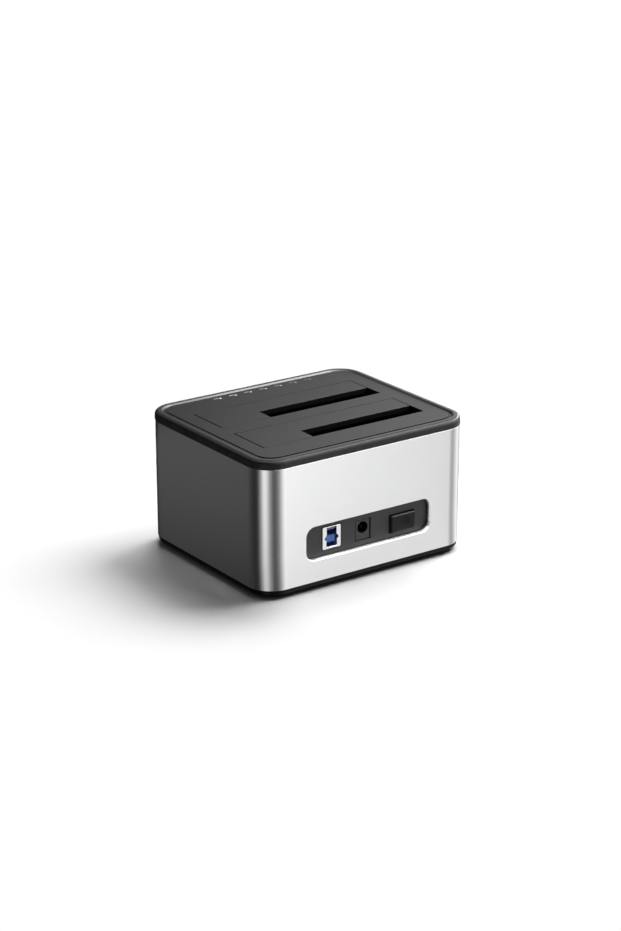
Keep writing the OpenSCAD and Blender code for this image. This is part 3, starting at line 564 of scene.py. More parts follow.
class Bench:
    """Modelling steps on one piece at a time."""

    WELD: ClassVar[float] = 0.002
    # Angles in degrees: faces that count as one, edges that are broken, shading that is smooth
    FLUSH: ClassVar[float] = 0.5
    SHARP: ClassVar[float] = 40.0
    SMOOTH: ClassVar[float] = 50.0
    BREAK_STEPS: ClassVar[int] = 2
    # Pull of the larger faces on the shading, where 50 is none
    FACE_PULL: ClassVar[int] = 60
    EGG_SIDES: ClassVar[int] = 64
    EGG_RINGS: ClassVar[int] = 32

    @staticmethod
    def activate(piece: bpy.types.Object) -> None:
        """Makes a piece the only selected object.

        Args:
            piece: The piece.
        """
        bpy.ops.object.select_all(action="DESELECT")
        piece.select_set(True)
        bpy.context.view_layer.objects.active = piece

    @staticmethod
    def link(name: str, data: bpy.types.ID) -> bpy.types.Object:
        """Makes the only selected object of a mesh or curve.

        Args:
            name: The piece's name.
            data: The mesh or curve.

        Returns:
            The piece.
        """
        piece = bpy.data.objects.new(name, data)
        bpy.context.scene.collection.objects.link(piece)
        Bench.activate(piece)
        return piece

    @staticmethod
    def _add(
        name: str, primitive: Callable[..., set[str]], scale: Sequence[float] = (1, 1, 1), **settings: object
    ) -> bpy.types.Object:
        """Adds a primitive and applies its place and size.

        Args:
            name: The piece's name.
            primitive: The operator that adds it.
            scale: Factors that it is scaled by.
            settings: The operator's settings.

        Returns:
            The piece.
        """
        bpy.ops.object.select_all(action="DESELECT")
        primitive(**settings)
        piece = bpy.context.active_object
        piece.scale = scale
        bpy.ops.object.transform_apply(location=True, rotation=True, scale=True)
        piece.name = name
        piece.data.name = name
        return piece

    @staticmethod
    def block(name: str, low: Point, high: Point) -> bpy.types.Object:
        """Adds a block.

        Args:
            name: The piece's name.
            low: Its lowest corner.
            high: Its highest corner.

        Returns:
            The block.
        """
        start, end = Vector(low)*MM, Vector(high)*MM
        add = bpy.ops.mesh.primitive_cube_add
        return Bench._add(name, add, end - start, size=1, location=(start + end)/2)

    @staticmethod
    def rod(
        name: str, axis: Axis, low: Point, length: float, radius: float, sides: int
    ) -> bpy.types.Object:
        """Adds a round rod along an axis.

        Args:
            name: The piece's name.
            axis: Direction of the rod.
            low: Middle of its lower end.
            length: Length.
            radius: Radius.
            sides: Sides of the circle.

        Returns:
            The rod.
        """
        middle = Vector(low)
        middle[axis.value] += length/2
        turn = {Axis.X: (0, math.pi/2, 0), Axis.Y: (math.pi/2, 0, 0), Axis.Z: (0, 0, 0)}[axis]
        return Bench._add(
            name, bpy.ops.mesh.primitive_cylinder_add, vertices=sides, radius=radius*MM, depth=length*MM,
            location=middle*MM, rotation=turn,
        )

    @staticmethod
    def egg(name: str, middle: Point, radii: Point) -> bpy.types.Object:
        """Adds a round form with its own radius along each axis."""
        return Bench._add(
            name, bpy.ops.mesh.primitive_uv_sphere_add, radii, segments=Bench.EGG_SIDES,
            ring_count=Bench.EGG_RINGS, radius=MM, location=Vector(middle)*MM,
        )

    @staticmethod
    def sheet(name: str, size: float, height: float) -> bpy.types.Object:
        """Adds a level square sheet over or under the origin."""
        add = bpy.ops.mesh.primitive_plane_add
        return Bench._add(name, add, size=size*MM, location=(0, 0, height*MM))

    @staticmethod
    def carry(name: str, node: str) -> bpy.types.Object:
        """Copies a CAD node's mesh, merged and with whole faces, as the start of a new piece.

        Args:
            name: The piece's name.
            node: The CAD node.

        Returns:
            The copy.
        """
        piece = Bench.link(name, frame["nodes"][node].data.copy())
        piece.data.name = name
        bpy.ops.mesh.customdata_custom_splitnormals_clear()
        bpy.ops.object.mode_set(mode="EDIT")
        bpy.ops.mesh.select_all(action="SELECT")
        bpy.ops.mesh.remove_doubles(threshold=Bench.WELD*MM)
        bpy.ops.mesh.dissolve_limited(angle_limit=math.radians(Bench.FLUSH))
        bpy.ops.object.mode_set(mode="OBJECT")
        return piece

    @staticmethod
    @contextmanager
    def _picked(piece: bpy.types.Object, element: Element, test: Test) -> Iterator[None]:
        """Holds a piece in edit mode with the edges or faces that pass a test selected.

        Args:
            piece: The piece.
            element: What is selected.
            test: Test on an edge's middle and direction, or on a face's middle and normal.

        Yields:
            Nothing. The piece is back in object mode afterwards.
        """
        Bench.activate(piece)
        bpy.ops.object.mode_set(mode="EDIT")
        bpy.ops.mesh.select_mode(type=element.value)
        bpy.ops.mesh.select_all(action="DESELECT")
        mesh = bmesh.from_edit_mesh(piece.data)
        if element is Element.EDGE:
            for edge in mesh.edges:
                start, end = (vertex.co for vertex in edge.verts)
                edge.select_set(bool(test((start + end)/(2*MM), (end - start).normalized())))
        else:
            for face in mesh.faces:
                face.select_set(bool(test(face.calc_center_median()/MM, face.normal)))
        mesh.select_flush_mode()
        bmesh.update_edit_mesh(piece.data)
        yield
        bpy.ops.object.mode_set(mode="OBJECT")

    @staticmethod
    def round_edges(piece: bpy.types.Object, test: Test, radius: float, segments: int) -> None:
        """Rounds the edges that pass a test."""
        with Bench._picked(piece, Element.EDGE, test):
            bpy.ops.mesh.bevel(offset=radius*MM, segments=segments, profile=0.5, affect="EDGES")

    @staticmethod
    def inset_faces(piece: bpy.types.Object, test: Test, amount: float, rise: float = 0.0) -> None:
        """Insets the faces that pass a test, and lifts or sinks them."""
        with Bench._picked(piece, Element.FACE, test):
            bpy.ops.mesh.inset(thickness=amount*MM, depth=rise*MM, use_even_offset=True)

    @staticmethod
    def push_faces(piece: bpy.types.Object, test: Test, move: Point, shrink: Point | None = None) -> None:
        """Extrudes the faces that pass a test.

        Args:
            piece: The piece.
            test: Test on a face's middle and normal.
            move: Way that the faces move.
            shrink: Factors that the moved faces are scaled by about their middle.
        """
        with Bench._picked(piece, Element.FACE, test):
            bpy.ops.mesh.extrude_region_move(TRANSFORM_OT_translate={"value": Vector(move)*MM})
            if shrink:
                bpy.ops.transform.resize(value=shrink)

    @staticmethod
    def delete_faces(piece: bpy.types.Object, test: Test) -> None:
        """Deletes the faces that pass a test."""
        with Bench._picked(piece, Element.FACE, test):
            bpy.ops.mesh.delete(type="FACE")

    @staticmethod
    def paint_faces(piece: bpy.types.Object, test: Test, slot: int) -> None:
        """Gives the faces that pass a test another of the piece's materials.

        Args:
            piece: The piece.
            test: Test on a face's middle and normal.
            slot: Number of the material.
        """
        with Bench._picked(piece, Element.FACE, test):
            piece.active_material_index = slot
            bpy.ops.object.material_slot_assign()

    @staticmethod
    def _apply(piece: bpy.types.Object, kind: str, **settings: object) -> None:
        """Adds a modifier and applies it.

        Args:
            piece: The piece.
            kind: The modifier's type.
            settings: Its settings.
        """
        Bench.activate(piece)
        modifier = piece.modifiers.new(kind.lower(), kind)
        for name, value in settings.items():
            setattr(modifier, name, value)
        bpy.ops.object.modifier_apply(modifier=modifier.name)

    @staticmethod
    def thicken(piece: bpy.types.Object, wall: float) -> None:
        """Gives an open shell a wall on its inner side."""
        Bench._apply(piece, "SOLIDIFY", thickness=wall*MM, offset=-1.0, use_even_offset=True)

    @staticmethod
    def _combine(piece: bpy.types.Object, operation: str, others: Sequence[bpy.types.Object]) -> None:
        """Cuts or joins other shapes and removes them.

        Args:
            piece: The piece.
            operation: The Boolean's operation.
            others: The other shapes.
        """
        for other in others:
            Bench._apply(piece, "BOOLEAN", operation=operation, solver="EXACT", object=other)
            bpy.data.objects.remove(other)

    @staticmethod
    def cut(piece: bpy.types.Object, *cutters: bpy.types.Object) -> None:
        """Cuts other shapes out of a piece."""
        Bench._combine(piece, "DIFFERENCE", cutters)

    @staticmethod
    def merge(piece: bpy.types.Object, *others: bpy.types.Object) -> None:
        """Joins other shapes to a piece as one solid."""
        Bench._combine(piece, "UNION", others)

    @staticmethod
    def soften(piece: bpy.types.Object, width: float, smooth: float = SMOOTH) -> None:
        """Breaks the sharp edges and smooths the shading.

        Args:
            piece: The piece.
            width: Width of the broken edge.
            smooth: Greatest angle that is shaded smooth, in degrees.
        """
        Bench._apply(
            piece, "BEVEL", width=width*MM, segments=Bench.BREAK_STEPS, limit_method="ANGLE",
            angle_limit=math.radians(Bench.SHARP), use_clamp_overlap=False, miter_outer="MITER_ARC",
        )
        bpy.ops.object.shade_smooth_by_angle(angle=math.radians(smooth))
        Bench._apply(piece, "WEIGHTED_NORMAL", mode="FACE_AREA", weight=Bench.FACE_PULL, keep_sharp=True)


def dress(
    piece: bpy.types.Object, body: str | None, slot: str, materials: Sequence[bpy.types.Material], *nodes: str
) -> None:
    """Hands a finished piece to the frame.

    Args:
        piece: The piece.
        body: The body that it rides on, or none if it bends between two.
        slot: The record's material slot; not used.
        materials: Its materials.
        nodes: CAD nodes that it stands for.
    """
    piece.data.materials.clear()
    for material in materials:
        piece.data.materials.append(material)
    if body:
        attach(piece, body)
    if nodes:
        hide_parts(*nodes)
    LOG.info("%s on %s, %d faces", piece.name, body or "two bodies", len(piece.data.polygons))


def upright(_middle: Vector, way: Vector) -> bool:
    """True for an upright edge."""
    return abs(way.z) > SQUARE


def front_to_rear(_middle: Vector, way: Vector) -> bool:
    """True for an edge from the front to the rear."""
    return abs(way.y) > SQUARE


def depth_inside(middle: Vector, half_w: float, half_d: float, radius: float) -> float:
    """How far a point lies inside a rounded rectangle round the origin.

    Args:
        middle: The point.
        half_w: Half the width.
        half_d: Half the depth.
        radius: Corner radius.

    Returns:
        The distance to the outline, in the units given.
    """
    over_x = abs(middle.x) - half_w + radius
    over_y = abs(middle.y) - half_d + radius
    corner = math.hypot(max(over_x, 0.0), max(over_y, 0.0))
    return radius - corner - min(max(over_x, over_y), 0.0)


@dataclass
class Sleeve:
    """The aluminium sleeve between base and top."""

    half_w: float = 67.0
    half_d: float = 56.7
    low: float = 4.6
    high: float = 71.0
    corner: float = 14.4
    corner_steps: int = 24
    wall: float = 2.4
    cut_x: float = -0.4
    cut_w: float = 81.5
    cut_low: float = 16.8
    cut_high: float = 35.3
    cut_corner: float = 5.4
    cut_steps: int = 12
    cut_reach: float = 4.0
    chamfer: float = 1.0
    chamfer_w: float = 0.9
    chamfer_low: float = 0.45
    edge: float = 0.25
    edge_share: float = 0.9

    def build(self, palette: Palette) -> None:
        """Makes the sleeve with its cut-out.

        Args:
            palette: The finishes.
        """
        shell = Bench.block(
            "sleeve_shell", (-self.half_w, -self.half_d, self.low), (self.half_w, self.half_d, self.high)
        )
        Bench.round_edges(shell, upright, self.corner, self.corner_steps)
        Bench.delete_faces(shell, lambda _middle, normal: abs(normal.z) > SQUARE)
        Bench.thicken(shell, self.wall)
        Bench.cut(shell, self._cutter())
        Bench.soften(shell, self.edge)
        materials = palette.pick("sleeve_aluminium", "cut_aluminium")
        dress(shell, STATION, "sleeve_aluminium", materials, "aluminium_sleeve")
        Bench.paint_faces(shell, self._on_cut, 1)

    def _cutter(self) -> bpy.types.Object:
        """Makes the form of the cut-out, which widens at the outer face.

        Returns:
            The form.
        """
        height = self.cut_high - self.cut_low
        inner_y, outer_y = self.half_d - self.wall - self.cut_reach, self.half_d - self.chamfer
        cutter = Bench.block(
            "sleeve_cut", (self.cut_x - self.cut_w/2 + self.chamfer_w, inner_y, self.cut_low),
            (self.cut_x + self.cut_w/2, outer_y, self.cut_high),
        )
        Bench.round_edges(cutter, front_to_rear, self.cut_corner, self.cut_steps)
        wider = (self.cut_w/(self.cut_w - self.chamfer_w), 1, 1 + self.chamfer_low/height)
        Bench.push_faces(cutter, self._outer, (-self.chamfer_w/2, self.chamfer, -self.chamfer_low/2), wider)
        Bench.push_faces(cutter, self._outer, (0, self.cut_reach, 0))
        return cutter

    @staticmethod
    def _outer(_middle: Vector, normal: Vector) -> bool:
        """True for a face that looks out of the rear."""
        return normal.y > SQUARE

    def _on_cut(self, middle: Vector, normal: Vector) -> bool:
        """Tells the faces of the cut-out's wall and its broken edges.

        Args:
            middle: A face's middle.
            normal: Its normal.

        Returns:
            True if the face is one of them.
        """
        border = self.chamfer + self.edge_share*self.edge
        near = abs(middle.x - self.cut_x) < self.cut_w/2 + border
        level = self.cut_low - border < middle.z < self.cut_high + border
        return near and level and middle.y > self.half_d - self.wall - TOUCH and abs(normal.y) < NEARLY


@dataclass
class TopCover:
    """The black cover with the raised rim."""

    half_w: float = 67.25
    half_d: float = 56.95
    low: float = 71.0
    high: float = 76.0
    corner: float = 14.65
    corner_steps: int = 24
    shoulder: float = 2.3
    shoulder_steps: int = 8
    flat: float = 1.3
    slope_w: float = 0.9
    slope_h: float = 1.2
    slope_lean: Span = (0.4, 0.9)
    ledge: float = 2.4
    pocket: float = 2.8
    lip_in: float = 2.85
    lip_wall: float = 1.6
    lip_slack: float = 0.3
    lip_h: float = 5.0
    edge: float = 0.22
    smooth: float = 20.0
    hole_x: Span = (-55.4, 53.3)
    hole_y: tuple[Span, ...] = ((-40.2, -2.8), (-1.2, 36.2))

    def build(self, palette: Palette) -> None:
        """Makes the cover with its rim, pocket, lip and bay holes.

        Args:
            palette: The finishes.
        """
        cover = Bench.block(
            "top_rim", (-self.half_w, -self.half_d, self.low), (self.half_w, self.half_d, self.high)
        )
        Bench.round_edges(cover, upright, self.corner, self.corner_steps)
        Bench.round_edges(cover, self._upper_edge, self.shoulder, self.shoulder_steps)
        Bench.inset_faces(cover, self._top_middle, self.flat)
        Bench.inset_faces(cover, self._top_middle, self.slope_w, -self.slope_h)
        Bench.inset_faces(cover, self._top_middle, self.ledge)
        Bench.push_faces(cover, self._top_middle, (0, 0, self.slope_h - self.pocket))
        Bench.inset_faces(cover, self._underside, self.lip_in)
        Bench.inset_faces(cover, self._underside_middle, self.lip_wall)
        Bench.push_faces(cover, self._lip_ring, (0, 0, -self.lip_h))
        x0, x1 = self.hole_x
        for index, (y0, y1) in enumerate(self.hole_y):
            Bench.cut(cover, Bench.block(
                f"cover_hole_{index}", (x0, y0, self.low - PROUD), (x1, y1, self.high)
            ))
        Bench.soften(cover, self.edge, self.smooth)
        materials = palette.pick("rim_black", "slope_painted_highlight", "flap_grey", "flat_painted_sheen")
        dress(cover, STATION, "rim_black", materials, "top_cover")
        # Lighter copies of the rim's black on its flat and slope: painted sheen and painted highlight
        for slot, test in enumerate((self._slope, self._ledge, self._flat_top), start=1):
            Bench.paint_faces(cover, test, slot)

    def _depth(self, middle: Vector) -> float:
        """Distance inside the rim's outline."""
        return depth_inside(middle, self.half_w, self.half_d, self.corner)

    def _upper_edge(self, middle: Vector, way: Vector) -> bool:
        """True for an edge round the top."""
        return middle.z > self.high - HAIR and abs(way.z) < HAIR

    def _top_middle(self, middle: Vector, normal: Vector) -> bool:
        """True for the top face inside the rim."""
        return normal.z > SQUARE and self._depth(middle) > self.half_d/2

    def _slope(self, middle: Vector, normal: Vector) -> bool:
        """True for the rim's inner slope, which gets the painted highlight."""
        low, high = self.slope_lean
        return low < normal.z < high and self._depth(middle) > self.shoulder + self.flat

    def _flat_top(self, middle: Vector, normal: Vector) -> bool:
        """True for the rim's flat, which gets the painted sheen."""
        return normal.z > NEARLY and middle.z > self.high - CLOSE

    def _ledge(self, middle: Vector, normal: Vector) -> bool:
        """True for the ledge round the plate."""
        return normal.z > self.slope_lean[1] and abs(middle.z - self.high + self.slope_h) < TOUCH

    def _underside(self, middle: Vector, normal: Vector) -> bool:
        """True for the underside."""
        return normal.z < -SQUARE and middle.z < self.low + HAIR

    def _underside_middle(self, middle: Vector, normal: Vector) -> bool:
        """True for the underside within the lip's outer face."""
        return self._underside(middle, normal) and self._depth(middle) > 2*self.lip_in

    def _lip_ring(self, middle: Vector, normal: Vector) -> bool:
        """True for the ring that the lip stands on."""
        into_lip = self._depth(middle) - self.lip_in
        return self._underside(middle, normal) and self.lip_slack < into_lip < self.lip_wall - self.lip_slack


@dataclass
class TopPlate:
    """The inlaid plate with the bay openings and the holes of the status lights."""

    side_x: Span = (-62.6, 60.2)
    side_y: Span = (-52.3, 49.9)
    low: float = 73.2
    high: float = 75.2
    corner: float = 9.4
    corner_steps: int = 16
    bay_x: Span = (-53.0, 51.15)
    bay_y: tuple[Span, ...] = ((-33.2, -5.2), (5.8, 33.8))
    light_x: tuple[float, ...] = (24.0, 14.0, 4.0, -6.0, -16.0, -26.0, -36.0)
    light_y: float = -48.0
    light_hole: float = 0.75
    light_sides: int = 24
    edge: float = 0.08

    def build(self, palette: Palette) -> None:
        """Makes the plate.

        Args:
            palette: The finishes.
        """
        plate = self._block("inlaid_plate", self.side_x, self.side_y, 0.0)
        Bench.round_edges(plate, upright, self.corner, self.corner_steps)
        for index, bay_y in enumerate(self.bay_y):
            Bench.cut(plate, self._block(f"bay_cut_{index}", self.bay_x, bay_y, PROUD))
        length = self.high - self.low + 2*PROUD
        for index, x in enumerate(self.light_x):
            foot = (x, self.light_y, self.low - PROUD)
            Bench.cut(plate, Bench.rod(
                f"light_cut_{index}", Axis.Z, foot, length, self.light_hole, self.light_sides
            ))
        Bench.soften(plate, self.edge)
        dress(plate, STATION, "plate_grey", palette.pick("plate_grey", "bay_black"), "top_plate")
        # Painted shade: the plate's upright faces, round the bays, the light holes and its edge, are painted
        # near black
        Bench.paint_faces(plate, self._upright_face, 1)

    def _block(self, name: str, side_x: Span, side_y: Span, over: float) -> bpy.types.Object:
        """Adds a block from the plate's underside to its face, and over both by an amount."""
        low, high = self.low - over, self.high + over
        return Bench.block(name, (side_x[0], side_y[0], low), (side_x[1], side_y[1], high))

    @staticmethod
    def _upright_face(_middle: Vector, normal: Vector) -> bool:
        """True for the upright faces, which get the painted shade."""
        return abs(normal.z) < ACROSS


@dataclass
class Flap:
    """A sprung flap over a bay, with the wound spring on its pin."""

    bay: Bay
    hinge_y: float
    hinge_z: float = 71.2
    edge: float = 0.1
    coil_x: float = 3.95
    coil_r: float = 1.35
    coil_pitch: float = 1.05
    coil_turns: int = 6
    turn_steps: int = 32
    wire_r: float = 0.25
    wire_steps: int = 3
    start_angle: float = -60.0
    seat_angle: float = -30.0
    lift_leg: float = 3.238
    seat_leg: float = 4.318

    def build(self, palette: Palette) -> None:
        """Makes the flap and its spring.

        Args:
            palette: The finishes.
        """
        side = self.bay.value
        body = f"{side}_flap"
        lid = Bench.carry(f"{side}_lid", body)
        Bench.soften(lid, self.edge)
        dress(lid, body, "plate_grey", palette.pick("flap_grey", "bay_black"), body)
        # Painted shade: the flap's sides and underside are painted near black
        Bench.paint_faces(lid, lambda _middle, normal: normal.z < ACROSS, 1)
        spring = self._spring(f"{side}_spring")
        dress(spring, None, "spring_steel", palette.pick("spring_steel"), f"{side}_flap_spring")
        seat = self._at(self.coil_x + self.coil_pitch*self.coil_turns, 0.0, 0.0)
        self._at(self.coil_x + self.wire_r, 0.0, 0.0)
        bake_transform(spring)

    def _at(self, x: float, y: float, z: float) -> Point:
        """A point given from the hinge's axis, in metres."""
        return (x*MM, (self.hinge_y + y)*MM, (self.hinge_z + z)*MM)

    def _path(self) -> list[Vector]:
        """Lays out the spring's wire from the hinge's axis: a leg, the curls and a leg.

        Returns:
            The points along the wire.
        """
        sweep = 360*self.coil_turns + self.start_angle - self.seat_angle
        steps = self.turn_steps*self.coil_turns
        points = []
        for k in range(steps + 1):
            turned = sweep*k/steps
            angle = math.radians(self.start_angle - turned)
            x = self.coil_x + self.coil_pitch*turned/360
            points.append(Vector((x, self.coil_r*math.cos(angle), self.coil_r*math.sin(angle))))
        first, last = (math.radians(a) for a in (self.start_angle, self.start_angle - sweep))
        points.insert(0, points[0] - self.lift_leg*Vector((0, math.sin(first), -math.cos(first))))
        points.append(points[-1] + self.seat_leg*Vector((0, math.sin(last), -math.cos(last))))
        return points

    def _spring(self, name: str) -> bpy.types.Object:
        """Makes the spring as one round wire.

        Args:
            name: The piece's name.

        Returns:
            The spring's mesh.
        """
        points = self._path()
        curve = bpy.data.curves.new(name, "CURVE")
        curve.dimensions = "3D"
        curve.bevel_depth = self.wire_r*MM
        curve.bevel_resolution = self.wire_steps
        curve.use_fill_caps = True
        line = curve.splines.new("POLY")
        line.points.add(len(points) - 1)
        for spot, point in zip(line.points, points):
            spot.co = (*self._at(*point), 1.0)
        Bench.link(name, curve)
        bpy.ops.object.convert(target="MESH")
        bpy.ops.object.shade_smooth_by_angle(angle=math.radians(Bench.SMOOTH))
        return bpy.context.active_object


@dataclass
class RearPanel:
    """The panel behind the cut-out."""

    edge: float = 0.25

    def build(self, palette: Palette) -> None:
        """Makes the panel.

        Args:
            palette: The finishes.
        """
        panel = Bench.carry("socket_panel", "rear_panel")
        Bench.soften(panel, self.edge)
        dress(panel, STATION, "panel_black", palette.pick("panel_black"), "rear_panel")


@dataclass
class DataSocket:
    """The keyed data socket: a metal shell and a blue insert with two tongues."""

    x: float = 22.3
    low: float = 19.9
    width: float = 11.6
    height: float = 12.2
    front: float = 54.0
    depth: float = 16.5
    corner: float = 0.6
    corner_steps: int = 4
    edge: float = 0.15
    insert_edge: float = 0.12
    # Widths of the mouth, and the heights over the socket's foot where they change
    foot: float = 6.7
    wide: float = 8.8
    narrow: float = 6.2
    key_low: float = 1.0
    key_foot: float = 4.6
    key_eaves: float = 5.2
    key_wide: float = 6.0
    key_neck: float = 7.6
    key_high: float = 11.75
    cavity: float = 9.5
    back: float = 1.0
    slack: float = 0.02
    # Width, height over the socket's foot and thickness of each tongue, and how far its root goes in
    low_tongue: Point = (5.4, 3.3, 3.7)
    high_tongue: Point = (5.2, 10.05, 1.2)
    root: float = 0.5
    # Where the upper tongue's painted shade starts, in height over the socket's foot and in front of the
    # insert's block
    painted_shade_from: float = 9.0
    painted_shade_off: float = 0.2

    def build(self, palette: Palette) -> None:
        """Makes the shell and the insert.

        Args:
            palette: The finishes.
        """
        rear = self.front - self.depth
        shell = Bench.block(
            "socket_shell", (self.x - self.width/2, rear, self.low),
            (self.x + self.width/2, self.front, self.low + self.height),
        )
        Bench.round_edges(shell, front_to_rear, self.corner, self.corner_steps)
        Bench.cut(shell, self._key("socket_key", rear - PROUD, self.front + PROUD, 0.0))
        Bench.soften(shell, self.edge)
        dress(shell, STATION, "socket_metal", palette.pick("socket_metal"), "usb_shell")
        insert = self._key("socket_insert", rear, self.front - self.cavity, self.slack)
        low_tongue = self._tongue("low_tongue", *self.low_tongue)
        Bench.merge(insert, low_tongue, self._tongue("high_tongue", *self.high_tongue))
        Bench.soften(insert, self.insert_edge)
        materials = palette.pick("socket_blue", "tongue_painted_shade")
        dress(insert, STATION, "socket_blue", materials, "usb_insulator")
        # Painted shade on the upper tongue
        Bench.paint_faces(insert, self._high_tongue, 1)

    def _key(self, name: str, y0: float, y1: float, slack: float) -> bpy.types.Object:
        """Makes the keyed form: a lower part that widens to its eaves and narrows to the upper part.

        Args:
            name: Name of the form.
            y0: Its rear end.
            y1: Its front end.
            slack: How far its faces stay back.

        Returns:
            The form.
        """
        foot, wide, narrow = (width - 2*slack for width in (self.foot, self.wide, self.narrow))
        key = Bench.block(
            name, (self.x - foot/2, y0, self.low + self.key_low + slack),
            (self.x + foot/2, y1, self.low + self.key_foot),
        )
        stages = (
            (self.key_eaves - self.key_foot, (wide/foot, 1, 1)),
            (self.key_wide - self.key_eaves, None),
            (self.key_neck - self.key_wide, (narrow/wide, 1, 1)),
            (self.key_high - slack - self.key_neck, None),
        )
        for rise, shrink in stages:
            Bench.push_faces(key, self._top, (0, 0, rise), shrink)
        return key

    @staticmethod
    def _top(_middle: Vector, normal: Vector) -> bool:
        """True for the upper face."""
        return normal.z > SQUARE

    def _high_tongue(self, middle: Vector, _normal: Vector) -> bool:
        """True for the faces of the upper tongue, which get the painted shade."""
        out = middle.y > self.front - self.cavity + self.painted_shade_off
        return out and middle.z > self.low + self.painted_shade_from

    def _tongue(self, name: str, width: float, low: float, height: float) -> bpy.types.Object:
        """Makes a tongue in front of the insert's back."""
        return Bench.block(
            name, (self.x - width/2, self.front - self.cavity - self.root, self.low + low),
            (self.x + width/2, self.front - self.back, self.low + low + height),
        )


@dataclass
class PowerSocket:
    """The power socket with its round bore."""

    x: float = 1.9
    low: float = 19.9
    width: float = 9.2
    height: float = 11.0
    front: float = 53.3
    depth: float = 14.0
    bore: float = 3.2
    bore_depth: float = 9.5
    bore_z: float = 26.7
    bore_sides: int = 64
    edge: float = 0.22

    def build(self, palette: Palette) -> None:
        """Makes the socket.

        Args:
            palette: The finishes.
        """
        jack = Bench.block(
            "power_socket", (self.x - self.width/2, self.front - self.depth, self.low),
            (self.x + self.width/2, self.front, self.low + self.height),
        )
        bore_end, length = (self.x, self.front - self.bore_depth, self.bore_z), self.bore_depth + PROUD
        Bench.cut(jack, Bench.rod("socket_bore", Axis.Y, bore_end, length, self.bore, self.bore_sides))
        Bench.soften(jack, self.edge)
        dress(jack, STATION, "jack_black", palette.pick("jack_black", "bay_black"), "power_jack")
        # Painted shade: the bore's wall and end are painted near black
        Bench.paint_faces(jack, self._in_bore, 1)

    def _in_bore(self, middle: Vector, _normal: Vector) -> bool:
        """True for the bore's wall and end, which get the painted shade."""
        near = math.hypot(middle.x - self.x, middle.z - self.bore_z) < self.bore + CLOSE
        return near and self.front - self.bore_depth - TOUCH < middle.y < self.front - TOUCH


@dataclass
class PowerButton:
    """The push-button with a shallow dish in its face."""

    x: float = -23.7
    z: float = 24.5
    width: float = 15.8
    height: float = 9.8
    front: float = 55.5
    flange_y: float = 50.8
    flange: float = 0.9
    flange_t: float = 0.8
    stem: float = 3.0
    stem_y: float = 43.5
    stem_in: float = 0.2
    edge: float = 0.95
    edge_steps: int = 4
    edge_lean: float = 0.2
    crease: float = 0.12
    dish: Point = (5.5, 1.2, 4.5)
    dish_out: float = 0.7
    dish_deep: float = 0.9
    dish_share: float = 0.98

    def build(self, palette: Palette) -> None:
        """Makes the button.

        Args:
            palette: The finishes.
        """
        cap = self._block("button_cap", self.width, self.height, self.flange_y, self.front)
        flange = self._block(
            "button_flange", self.width + 2*self.flange, self.height + 2*self.flange,
            self.flange_y, self.flange_y + self.flange_t,
        )
        stem = self._block("button_stem", self.stem, self.stem, self.stem_y, self.flange_y + self.stem_in)
        Bench.round_edges(cap, lambda middle, _way: middle.y > self.front - HAIR, self.edge, self.edge_steps)
        Bench.merge(cap, flange, stem)
        Bench.cut(cap, Bench.egg("button_dish", (self.x, self.front + self.dish_out, self.z), self.dish))
        Bench.soften(cap, self.crease)
        materials = palette.pick("button_black", "dish_painted_shade", "button_painted_highlight")
        dress(cap, "power_button", "button_black", materials, "power_button")
        Bench.paint_faces(cap, self._in_dish, 1)
        Bench.paint_faces(cap, self._upper_edge, 2)

    def _in_dish(self, middle: Vector, _normal: Vector) -> bool:
        """Tells the faces of the dish, which get the painted shade.

        Args:
            middle: A face's middle.

        Returns:
            True if the face is one of them.
        """
        across, level = (middle.x - self.x)/self.dish[0], (middle.z - self.z)/self.dish[2]
        sunk = self.front - self.dish_deep < middle.y < self.front - HAIR
        return sunk and math.hypot(across, level) < self.dish_share

    def _upper_edge(self, middle: Vector, normal: Vector) -> bool:
        """True for the rounding along the top of the button's face, which gets the painted highlight."""
        high = middle.z > self.z + self.height/2 - self.edge
        return high and normal.z > self.edge_lean and middle.y > self.front - self.edge - TOUCH

    def _block(self, name: str, width: float, height: float, y0: float, y1: float) -> bpy.types.Object:
        """Adds a block about the button's middle."""
        return Bench.block(
            name, (self.x - width/2, y0, self.z - height/2), (self.x + width/2, y1, self.z + height/2)
        )


@dataclass
class Inside:
    """What stays as the CAD nodes draw it: each gets its finish, but the data socket's contacts get a painted
    shade.
    """

    shaded: str = "usb_contacts"

    def build(self, palette: Palette) -> None:
        """Paints every node that is still shown.

        Args:
            palette: The finishes.
        """
        slots = {part["node"]: part["material_slot"] for part in frame["record"]["subparts"]}
        # The contacts get a painted shade in place of their own finish
        slots[self.shaded] = "contact_shade"
        for name, node in frame["nodes"].items():
            if node.hide_render:
                continue
            for holder in node.material_slots:
                holder.material = palette.pick(slots[name])[0]
            LOG.info("%s keeps its form, painted %s", name, slots[name])


